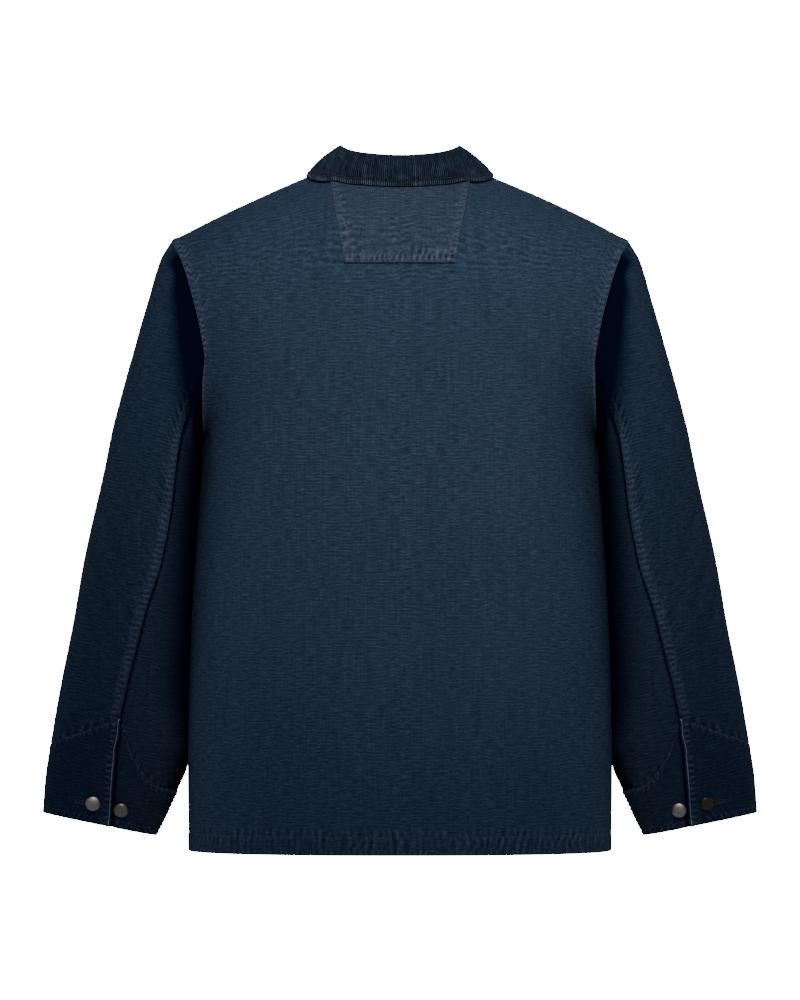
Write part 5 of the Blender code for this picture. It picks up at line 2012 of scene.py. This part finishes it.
# reach is how far out from the neck seam, seen from above, the leaf's edge lies
COLLAR_SIZES = Table(
    "place height inward reach lift",
    (0.0, 27.0, 8.0, 4.6, 4.6),
    (0.18, 26.5, 9.5, 8.0, 4.6),
    (0.30, 25.5, 15.0, 12.5, 4.4),
    (0.43, 21.0, 17.5, 21.0, 2.2),
    (0.60, 20.5, 15.5, 18.5, 2.4),
    (0.80, 18.0, 8.0, 17.0, 3.4),
    (1.0, 13.0, 4.0, 13.0, 3.6),
)


@dataclass
class Collar:
    """The corduroy collar, one folded piece: its stand, its fold and its leaf."""

    form: BodyForm
    seams: Seams
    wall: float = 2.6
    fold_radius: float = 2.2
    foot: float = -1.4  # the stand starts this far above the neck seam
    bow: float = 1.2
    back_part: float = 0.43  # the back neck's part of half the collar
    point_spread: float = 26.0  # how far the point lies outside the centre front
    spread_from: float = 0.72
    end: float = 0.992
    wale: float = 2.2
    wale_height: float = 0.60
    samples: int = 6  # columns for each wale
    steps: int = 16  # sections on each side of the centre back
    edge_row: float = 5.8
    edge_wall: float = 1.8  # the turned edge is pressed thinner than the wall
    turned: float = 9.0

    def below(self, x: np.ndarray, y: np.ndarray) -> tuple[np.ndarray, np.ndarray]:
        """Return the body's points under places in plan, and the outward directions there.

        Args:
            x: Places across.
            y: Places from front to back.

        Returns:
            The points and the directions.
        """
        start, tip = self.form.neck_half_width, self.form.tip
        share = np.maximum((x - start) / (tip[0] - start), 0.0)
        behind = y >= self.form.neck_side_y + (tip[1] - self.form.neck_side_y) * share
        found = [self.form.nearest(side, (0, 1), x, y) for side in (Side.BACK, Side.FRONT)]
        return tuple(np.where(behind[:, None], a, b) for a, b in zip(*found))

    def sections(self, places: np.ndarray, rows: tuple[int, int, int]) -> Grid:
        """Return the collar's middle line at places from the centre back (0) to the front (1).

        Args:
            places: Where to cut the collar.
            rows: Points in the stand, the fold and the leaf.

        Returns:
            Points, with a row for each place.
        """
        back = places <= self.back_part
        part = np.where(back, places / self.back_part, (1 - places) / (1 - self.back_part))
        near_part = part + np.where(part > 0.5, -0.02, 0.02)
        seam, near = (np.where(back[:, None], self.form.neck(Side.BACK, p), self.form.neck(Side.FRONT, p))
                      for p in (part, near_part))
        away = unit(stack(near[:, 1] - seam[:, 1], seam[:, 0] - near[:, 0], 0.0))
        outwards = (away[:, :2] * seam[:, :2]).sum(axis=1) > 0
        away *= np.where(outwards, 1.0, -1.0)[:, None]
        height, inward, reach, lift = (COLLAR_SIZES.read(k, places)[:, None]
                                       for k in ("height", "inward", "reach", "lift"))
        up = unit(height * np.array([0.0, 0.0, 1.0]) - away * inward)
        tall = np.hypot(height, inward)
        foot, bend = seam + up * self.foot, seam + up * (tall - self.fold_radius)
        across = unit(away - up * (away * up).sum(axis=1, keepdims=True))
        line = [foot + (bend - foot) * t for t in np.linspace(0.0, 1.0, rows[0], endpoint=False)]
        for a in np.linspace(0.0, math.pi, rows[1]):
            turn = across * (1 - math.cos(a)) + up * math.sin(a)
            line.append(bend + turn * self.fold_radius)
        under = seam + away * reach
        under[:, 0] += self.point_spread * ease((places - self.spread_from) / (1 - self.spread_from))
        cloth, out = self.below(under[:, 0], under[:, 1])
        start, edge = line[-1], cloth + out * lift
        for t in np.linspace(0.0, 1.0, rows[2] + 1)[1:]:
            line.append(start + (edge - start) * t + (across + out) * self.bow * math.sin(math.pi * t))
        return np.stack(line)

    def middle(self, spacing: float, rows: tuple[int, int, int]) -> Grid:
        """Return the whole collar's middle grid with even columns this far apart.

        Args:
            spacing: The distance between columns.
            rows: Points in the stand, the fold and the leaf.

        Returns:
            The grid.
        """
        half = self.sections(np.linspace(0.0, self.end, self.steps + 1), rows)
        whole = np.concatenate([mirrored(half[:, :0:-1]), half], axis=1)
        rough = np.linspace(0.0, self.steps, 400)
        travel = travelled(spline(whole[-8:-7], self.steps + rough), 1)[0]
        count = int(travel[-1] / spacing)
        out = np.interp(np.arange(count + 1) * spacing, travel, rough)
        return spline(whole, self.steps + np.concatenate([-out[:0:-1], out]))

    def make(self, thread: Thread) -> None:
        """Make the corduroy face, the plain under collar and the edge's stitching.

        Args:
            thread: Where the stitching goes.
        """
        spacing = self.wale / self.samples
        middle = self.middle(spacing, (9, 9, 22))
        normals = grid_normals(middle)
        if normals[12, middle.shape[1] // 2, 2] < 0:
            normals = -normals
        out = normals[middle.shape[0] // 2, middle.shape[1] // 2]
        cloth = Cloth(middle + normals * self.wall / 2, out)
        columns = np.arange(middle.shape[1]) - middle.shape[1] // 2
        number = np.floor(columns / self.samples)
        phase = columns / self.samples - number
        waves = Unevenness(800)
        uneven = 1 + 0.16 * waves.line(number * 1.37 + 400)
        rib = np.sin(np.pi * phase) ** 1.4
        crush = 0.82 + 0.18 * waves.sheet(cloth.across / 9.0, cloth.along / 7.0)
        edge_gap = np.min([cloth.gap(edge) for edge in LEAF_EDGES], axis=0)
        flattened = 1 - 0.55 * bell(edge_gap - self.edge_row, 1.1)
        wale = (rib * uneven)[None, :] * crush * flattened
        cloth.lift += self.wale_height * (wale - 0.55)
        for edge in LEAF_EDGES:
            cloth.sewn(edge, Sewing.COLLAR_EDGE)
        cloth.sewn(Edge.LAST_ROW, Sewing.COLLAR_LEAF, 800)
        cloth.uneven(34.0, 0.45, 812)
        cloth.shade *= 0.5
        cloth.wear = cloth.wear * 0.5 + 0.95 * bell(edge_gap - 1.5, 3.0)
        smooth = Cloth(cloth.base, out)
        smooth.lift -= 0.45
        thread.sew(smooth.line(Edge.LAST_ROW, self.edge_row, 0.012, 0.988))
        for edge in SIDE_EDGES:
            thread.sew(smooth.line(edge, self.edge_row, 0.5, 0.88))
        for edge in LEAF_EDGES:
            cloth.fold_in(edge, self.turned, self.edge_wall, 3)
        made = cloth.build("collar_corduroy", middle.shape[1] // 2)
        self.carry_wales(made, wale, cloth)
        hang(dressed(made, Finish.CORDUROY, "collar"), cloth)
        plain = self.middle(4.4, (6, 9, 12))
        ways = grid_normals(plain)
        if ways[9, plain.shape[1] // 2, 2] < 0:
            ways = -ways
        inwards = -ways[plain.shape[0] // 2 - 1, plain.shape[1] // 2]
        plain = (plain - ways * (self.wall / 2 - 0.15))[:-2, 2:-2]  # it ends on the turned edge
        lining = Cloth(plain, inwards)
        lining.uneven(30.0, 0.2, 820)
        hang(dressed(lining.build("under_collar", plain.shape[1] // 2), Finish.CANVAS), lining)

    def carry_wales(self, made: bpy.types.Object, wale: Field, cloth: Cloth) -> None:
        """Keep the wales' height on the mesh, for the finish.

        Args:
            made: The collar.
            wale: The wales' height at each point.
            cloth: The cloth it was made from.
        """
        layers = [cloth.base, cloth.normals, wale[..., None], wale[..., None], cloth.base]
        for turn in cloth.turns:
            layers = turned_in(layers, turn)
        attribute = made.data.attributes.new("wale", "FLOAT", "POINT")
        attribute.data.foreach_set("value", layers[2].astype(np.float32).ravel())


@dataclass
class NeckPatch:
    """The patch below the back collar, with two rows of stitching."""

    form: BodyForm
    seams: Seams
    top_half: float = 75.0
    bottom_half: float = 58.0
    bottom_z: float = -104.5
    below_neck: float = 6.0
    gap: float = 0.9
    inner_row: float = 9.4
    height: float = 88.0
    turned: float = 7.0

    def make(self, thread: Thread) -> None:
        """Make the patch and its stitching.

        Args:
            thread: Where the stitching goes.
        """
        share = graded(self.height, 0.95, 1.5, [(0.0, 12.0)], 10)
        out = graded(self.top_half, 0.95, 1.5, [(self.top_half - 13.0, self.top_half)], 10)
        half = self.bottom_half + (self.top_half - self.bottom_half) * share[:, None]
        x = half * out[None, :]
        part = np.arcsin(np.clip(x / self.form.neck_half_width, 0.0, 1.0)) / (np.pi / 2)
        top_z = self.form.neck(Side.BACK, part)[..., 2] - self.below_neck
        z = self.bottom_z + (top_z - self.bottom_z) * share[:, None]
        points, _ = self.form.nearest(Side.BACK, (0, 2), x, z)
        points = np.concatenate([mirrored(points[:, :0:-1]), points], axis=1)
        under = Cloth(points, BACKWARD)
        cloth = Cloth(points + under.normals * (self.gap + self.seams.wall), BACKWARD)
        for k, edge in enumerate(SEWN_EDGES):
            cloth.sewn(edge, Sewing.PATCH, 900 + k)
            for row in (self.seams.edge_row, self.inner_row):
                cloth.lighten(0.22 * bell(cloth.gap(edge) - row, 1.0))
        cloth.uneven(36.0, 0.35, 920)
        # the whole patch a little darker, and painted shadow below the collar's leaf
        cloth.shade += 0.06 + 0.75 * leaf_shadow(cloth.base)
        for edge in SEWN_EDGES:
            thread.sew(cloth.line(edge, self.seams.edge_row, 0.015, 0.985), True)
            thread.sew(cloth.line(edge, self.inner_row, 0.085, 0.915), True)
        for edge in (*SEWN_EDGES, Edge.LAST_ROW):
            cloth.fold_in(edge, self.turned, 1.9, 2)
        made = cloth.build("back_patch_cloth", points.shape[1] // 2, up_body)
        hang(dressed(made, Finish.FADED, "back_patch"), cloth)


@dataclass
class Pocket:
    """A plain patch pocket with its bottom corners cut off, and its mirror image."""

    form: BodyForm
    seams: Seams
    top_z: float = -478.0
    bottom_z: float = -668.0
    start: float = 0.14  # parts of half the front
    stop: float = 0.6778
    corner: float = 22.0
    corner_part: float = 0.067
    gap: float = 0.5
    hem: float = 26.0
    turned: float = 8.0
    width: float = 168.0

    def cloth(self, on_top: bool) -> Cloth:
        """Return one pocket's cloth, on the side where it is worn.

        Args:
            on_top: True for the wearer's left, on the lapping front.

        Returns:
            The cloth, not yet shaped.
        """
        tall = self.top_z - self.bottom_z
        share = graded(tall, 1.2, 2.4, [(0.0, 11.0), (tall - 40.0, tall)], 10)
        part = graded(self.width, 1.2, 2.4, [(0.0, 11.0), (self.width - 11.0, self.width)], 10)
        places = self.start + (self.stop - self.start) * part
        cut = np.maximum(self.start + self.corner_part - places, places - self.stop + self.corner_part)
        bottom = self.bottom_z + self.corner * np.clip(cut / self.corner_part, 0.0, 1.0)
        z = bottom + (self.top_z - bottom) * share[:, None]
        levels = np.linspace(self.bottom_z, self.top_z, 80)
        form = self.form.ring(levels, Side.FRONT, places)
        points = np.stack([
            np.stack([np.interp(z[:, c], levels, form[:, c, k]) for k in range(3)], axis=-1)
            for c in range(len(places))
        ], axis=1)
        if not on_top:
            points = self.seams.lapped(points, places)
        under = Cloth(points, FORWARD)
        return Cloth(points + under.normals * (self.gap + self.seams.wall), FORWARD)

    def make(self, thread: Thread) -> None:
        """Make both pockets and their stitching.

        Args:
            thread: Where the stitching goes.
        """
        for side, on_top, seed in (("left", True, 930), ("right", False, 950)):
            cloth = self.cloth(on_top)
            for k, edge in enumerate(SEWN_EDGES):
                cloth.sewn(edge, Sewing.POCKET, seed + k)
            cloth.sewn(Edge.LAST_ROW, Sewing.POCKET_HEM, seed)
            cloth.uneven(48.0, 0.4, seed + 9)
            for edge in SEWN_EDGES:
                thread.sew(cloth.line(edge, self.seams.edge_row, 0.01, 0.99))
                thread.sew(cloth.line(edge, self.seams.felled_row, 0.04, 0.97))
            thread.sew(cloth.line(Edge.LAST_ROW, self.hem, 0.01, 0.99))
            for edge in SEWN_EDGES:
                cloth.fold_in(edge, self.turned, 1.5, 3)
            cloth.fold_in(Edge.LAST_ROW, self.hem, 1.5, 3)
            made = cloth.build(f"pocket_cloth_{side}", cloth.base.shape[1] // 2, up_body)
            hang(dressed(made, Finish.CANVAS, f"pocket_{side}"), cloth)


# how far out from the middle and how high each step of a button's turned face lies
BUTTON_FACE = (
    (0.0, 3.50), (1.6, 3.46), (3.2, 3.32), (4.7, 3.06), (5.8, 2.78), (6.6, 2.48), (7.2, 2.16),
    (7.6, 1.86), (7.9, 1.54), (8.08, 1.2), (8.14, 0.9), (8.08, 0.55), (7.7, 0.2), (6.9, 0.0),
    (3.2, -0.05), (2.7, -0.5), (2.6, -1.6),
)
# how far the loosely sewn cuff buttons lean, to the side and up
BUTTON_LEANS = {
    "button_cuff_left_1": (-0.07, 0.06),
    "button_cuff_left_2": (0.08, -0.12),
    "button_cuff_right_1": (-0.24, -0.16),
    "button_cuff_right_2": (0.06, 0.04),
}
# painted shade: these cuff buttons get darker copies of the gunmetal
SHADED_BUTTONS = {
    "button_cuff_left_2": Finish.DULL_METAL,
    "button_cuff_right_1": Finish.DARK_METAL,
}


@dataclass
class Buttons:
    """The metal tack buttons on the front and the cuffs, and their buttonholes."""

    seams: Seams
    segments: int = 56
    hole_start: float = 4.0  # from the button's middle
    hole_length: float = 14.0
    hole_half_width: float = 0.7
    bar_pitch: float = 0.72
    bar_length: float = 2.0

    def seat(self, node: str, facing: float) -> tuple[np.ndarray, np.ndarray]:
        """Return where a button's foot lies and which way it faces.

        Args:
            node: The button's solid.
            facing: The sign of the way it faces along Y.

        Returns:
            The foot's middle and the direction, in millimetres.
        """
        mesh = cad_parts[node].data
        points = np.empty(len(mesh.vertices) * 3, np.float32)
        mesh.vertices.foreach_get("co", points)
        points = points.reshape(-1, 3).astype(float) / MM
        unique = np.unique(points.round(2), axis=0)
        _, _, axes = np.linalg.svd(unique - unique.mean(axis=0))
        axis = axes[2] * np.sign(axes[2][1] * facing)
        middle = unique.mean(axis=0)
        heights = (unique - middle) @ axis
        return middle + axis * heights.min(), axis

    def button(self, node: str, facing: float) -> None:
        """Make one button where its solid is.

        Args:
            node: The button's solid.
            facing: The sign of the way it faces along Y.
        """
        foot, axis = self.seat(node, facing)
        side = unit(np.cross(axis, np.array([0.0, 0.0, 1.0])))
        aside, up = BUTTON_LEANS.get(node, (0.0, 0.0))
        axis = unit(axis + side * aside + np.array([0.0, 0.0, up]))
        side = unit(np.cross(axis, np.array([0.0, 0.0, 1.0])))
        other = np.cross(axis, side)
        angle = np.linspace(0.0, math.tau, self.segments, endpoint=False)
        face = np.array(BUTTON_FACE)
        radius, height = np.maximum(face[:, :1], 0.01), face[:, 1:]
        points = (foot + axis * height[..., None]
                  + side * (radius * np.cos(angle))[..., None] + other * (radius * np.sin(angle))[..., None])
        lighten = 0.45 * ease((face[:, 1] - 1.6) / 1.4)
        wear = np.repeat(lighten[:, None], self.segments, axis=1)
        uv = np.stack([radius * np.cos(angle), radius * np.sin(angle)], axis=-1)
        made = grid_object(node + "_turned", points, uv, {"wear": wear}, closed=True)
        bpy.context.view_layer.update()
        if made.data.polygons[0].normal.dot(Vector(axis)) < 0:
            made.data.flip_normals()
        dressed(made, SHADED_BUTTONS.get(node, Finish.METAL), node)

    def hole(self, name: str, cloth: Cloth, node: str, facing: float, way: Sequence[float],
             thread: Thread) -> None:
        """Make a stitched buttonhole that runs out from below a button.

        Args:
            name: The slit's name.
            cloth: The cloth that it is cut in.
            node: The button's solid.
            facing: The sign of the way the button faces along Y.
            way: Roughly which way the slit runs from the button.
            thread: Where the stitching goes.
        """
        foot, axis = self.seat(node, facing)
        along = np.array(way, float)
        along = unit(along - axis * (along @ axis))
        at = np.linspace(self.hole_start, self.hole_start + self.hole_length, 15)
        middle, up = cloth.laid(foot + along * at[:, None])
        across = unit(np.cross(up, along))
        wide = self.hole_half_width * np.sqrt(np.maximum(1 - (np.linspace(-1, 1, 15) ** 6), 0.0))[:, None]
        # a dark ribbon of painted shade along the slit
        lifted = middle + up * 0.22
        ribbon = np.stack([lifted - across * wide, lifted, lifted + across * wide], axis=1)
        uv = np.zeros((*ribbon.shape[:2], 2))
        dressed(grid_object(name, ribbon, uv, {}), Finish.HOLE)
        count = int(self.hole_length / self.bar_pitch)
        bars = np.linspace(at[0], at[-1], count)
        points, ways = cloth.laid(foot + along * bars[:, None])
        aside = unit(np.cross(ways, along))
        for sign in (-1, 1):
            start = points + aside * sign * self.hole_half_width * 0.9
            thread.bars(start, start + aside * sign * self.bar_length, ways)
        tip, tip_up = points[-1:], ways[-1:]
        for angle in np.radians((-60.0, -30.0, 0.0, 30.0, 60.0)):
            out = unit(along * math.cos(angle) + aside[-1] * math.sin(angle))
            thread.bars(tip + out * 0.6, tip + out * (0.6 + self.bar_length), tip_up)

    def make(self, torso: Torso, sleeve: Sleeve, thread: Thread, sleeve_thread: Thread) -> None:
        """Make all buttons and buttonholes.

        Args:
            torso: The made body.
            sleeve: The made sleeves.
            thread: Where the front's stitching goes.
            sleeve_thread: Where the left sleeve's stitching goes.
        """
        for number in range(1, 6):
            node = f"button_front_{number}"
            self.button(node, -1.0)
            self.hole(f"buttonhole_front_{number}", torso.panels["front_left"], node, -1.0, (1, 0, 0), thread)
        for side in ("left", "right"):
            for number in (1, 2):
                self.button(f"button_cuff_{side}_{number}", 1.0)
        node = "button_cuff_left_1"
        self.hole("buttonhole_cuff_left", sleeve.pieces["cuff_top"], node, 1.0, (1, 0, 0.12), sleeve_thread)
        right = mirrored_object(bpy.data.objects["buttonhole_cuff_left"], "buttonhole_cuff_right")
        dressed(right, Finish.HOLE)


# ---- the studio


@dataclass(frozen=True)
class Light:
    """A lamp that looks at a point: a soft rectangle, or a soft spot where it has a cone."""

    name: str
    place: tuple[float, float, float]
    target: tuple[float, float, float]
    size: tuple[float, float]
    power: float
    colour: Colour = (1.0, 1.0, 1.0)
    cone: float = 0.0  # the whole angle, in degrees
    narrow: float = 1.0  # the cone's width over its height
    shine_only: bool = False  # true where only metal mirrors it

    def make(self) -> None:
        """Hang the lamp."""
        lamp = bpy.data.lights.new(self.name, "SPOT" if self.cone else "AREA")
        if self.cone:
            lamp.spot_size, lamp.spot_blend = math.radians(self.cone), 1.0
            lamp.shadow_soft_size = self.size[0] / 2
        else:
            lamp.shape = "RECTANGLE"
            lamp.size, lamp.size_y = self.size
        lamp.energy = self.power
        lamp.color = self.colour
        made = bpy.data.objects.new(self.name, lamp)
        made.location = self.place
        way = Vector(self.target) - Vector(self.place)
        made.rotation_euler = way.to_track_quat("-Z", "Y").to_euler()
        made.scale = (self.narrow, 1.0, 1.0)
        made.visible_diffuse = not self.shine_only
        bpy.context.scene.collection.objects.link(made)


@dataclass(frozen=True)
class Studio:
    """The pale floor, the lamps and the camera, in metres."""

    floor_z: float = -1.45
    floor_radius: float = 3.4
    distance: float = 8.0
    eye_z: float = -0.355
    view_height: float = 1.07  # what the picture's height takes in at the jacket
    sensor: float = 36.0
    backdrop: float = 17.0
    ambient: float = 0.27
    ambient_colour: Colour = (0.01, 0.20, 1.0)  # on matt surfaces
    reflected: float = 0.22  # the room as metal mirrors it
    lights: tuple[Light, ...] = (
        Light("key", (-0.038, 2.024, 0.983), (-0.032, 0.05, -0.195), (0.3, 0.3), 208.0, cone=31.4,
              narrow=0.82),
        Light("shine", (0.1, 3.2, 1.5), (0.0, 0.0, -0.6), (1.5, 1.5), 40.0, shine_only=True),
        Light("side_left", (3.0, -0.9, 0.5), (0.2, 0.0, -0.4), (1.2, 1.8), 26.0),
        Light("side_right", (-3.0, -0.9, 0.5), (-0.2, 0.0, -0.4), (1.2, 1.8), 26.0),
        Light("front", (0.0, -3.4, 1.3), (0.0, 0.0, -0.35), (2.0, 1.4), 60.0),
    )

    def make(self) -> None:
        """Set up everything that isn't part of the jacket."""
        self.lay_floor()
        self.light_world()
        for light in self.lights:
            light.make()
        self.place_camera()

    def lay_floor(self) -> None:
        """Lay a round pale floor."""
        angle = np.linspace(0.0, math.tau, 96, endpoint=False)
        radius = np.array([0.001, 0.5, 1.0])[:, None] * self.floor_radius
        points = stack(radius * np.cos(angle), radius * np.sin(angle), self.floor_z)
        floor = grid_object("floor", points / MM, points[..., :2], {}, closed=True)
        floor.data.materials.append(PlainFinish("pale_floor", (0.97, 0.86, 0.62), 0.8).build())

    def light_world(self) -> None:
        """Give the room a white backdrop and a little light from all sides."""
        world = bpy.data.worlds.new("studio")
        world.use_nodes = True
        tree = world.node_tree
        path = tree.nodes.new("ShaderNodeLightPath")
        room = tree.nodes["Background"]
        room.inputs["Color"].default_value = rgba(self.ambient_colour)
        room.inputs["Strength"].default_value = self.ambient
        white = (1.0, 1.0, 1.0)
        for ray, strength in (("Is Glossy Ray", self.reflected), ("Is Camera Ray", self.backdrop)):
            shown, mix = tree.nodes.new("ShaderNodeBackground"), tree.nodes.new("ShaderNodeMixShader")
            shown.inputs["Color"].default_value = rgba(white)
            shown.inputs["Strength"].default_value = strength
            tree.links.new(path.outputs[ray], mix.inputs[0])
            tree.links.new(room.outputs[0], mix.inputs[1])
            tree.links.new(shown.outputs[0], mix.inputs[2])
            room = mix
        tree.links.new(room.outputs[0], tree.nodes["World Output"].inputs["Surface"])
        bpy.context.scene.world = world

    def place_camera(self) -> None:
        """Place the camera behind the jacket, level with its middle."""
        lens = bpy.data.cameras.new("camera")
        lens.sensor_width = self.sensor
        lens.lens = self.distance * self.sensor / self.view_height
        lens.clip_end = 60.0
        made = bpy.data.objects.new("camera", lens)
        made.location = (0.0, self.distance, self.eye_z)
        made.rotation_euler = (math.pi / 2, 0.0, math.pi)
        bpy.context.scene.collection.objects.link(made)
        bpy.context.scene.camera = made


def main() -> None:
    """Build the jacket's pieces in order, then the studio."""
    logging.basicConfig(level=logging.INFO, format="%(message)s")
    form, seams = BodyForm(), Seams()
    body_thread, sleeve_thread = (Thread(f"stitching_{place}", pits=Thread(
        f"needle_pits_{place}", length=1.5, half_width=0.5, rise=0.14, shift=0.5))
        for place in ("body", "sleeve_left"))
    torso, sleeve = Torso(form, seams), Sleeve(SleeveForm(form), seams)
    torso.make(body_thread)
    sleeve.make(sleeve_thread)
    collar_thread = Thread("stitching_collar")
    Collar(form, seams).make(collar_thread)
    dressed(collar_thread.build(), Finish.SLEEVE_THREAD)
    NeckPatch(form, seams).make(body_thread)
    Pocket(form, seams).make(body_thread)
    Buttons(seams).make(torso, sleeve, body_thread, sleeve_thread)
    dressed(body_thread.build(), Finish.THREAD)
    dressed(body_thread.pits.build(), Finish.HOLE)
    for thread, finish in ((sleeve_thread, Finish.SLEEVE_THREAD), (sleeve_thread.pits, Finish.HOLE)):
        left = thread.build()
        dressed(mirrored_object(left, thread.name.replace("left", "right")), finish)
        dressed(left, finish)
    Studio().make()
    shown = [o for o in bpy.data.objects if o.type == "MESH" and not o.hide_render]
    for made in shown:
        log.info("%s: %d faces", made.name, len(made.data.polygons))
    faces = sum(len(made.data.polygons) for made in shown)
    log.info("%d pieces with the floor, %d faces in all", len(shown), faces)


if __name__ == "__main__":
    main()
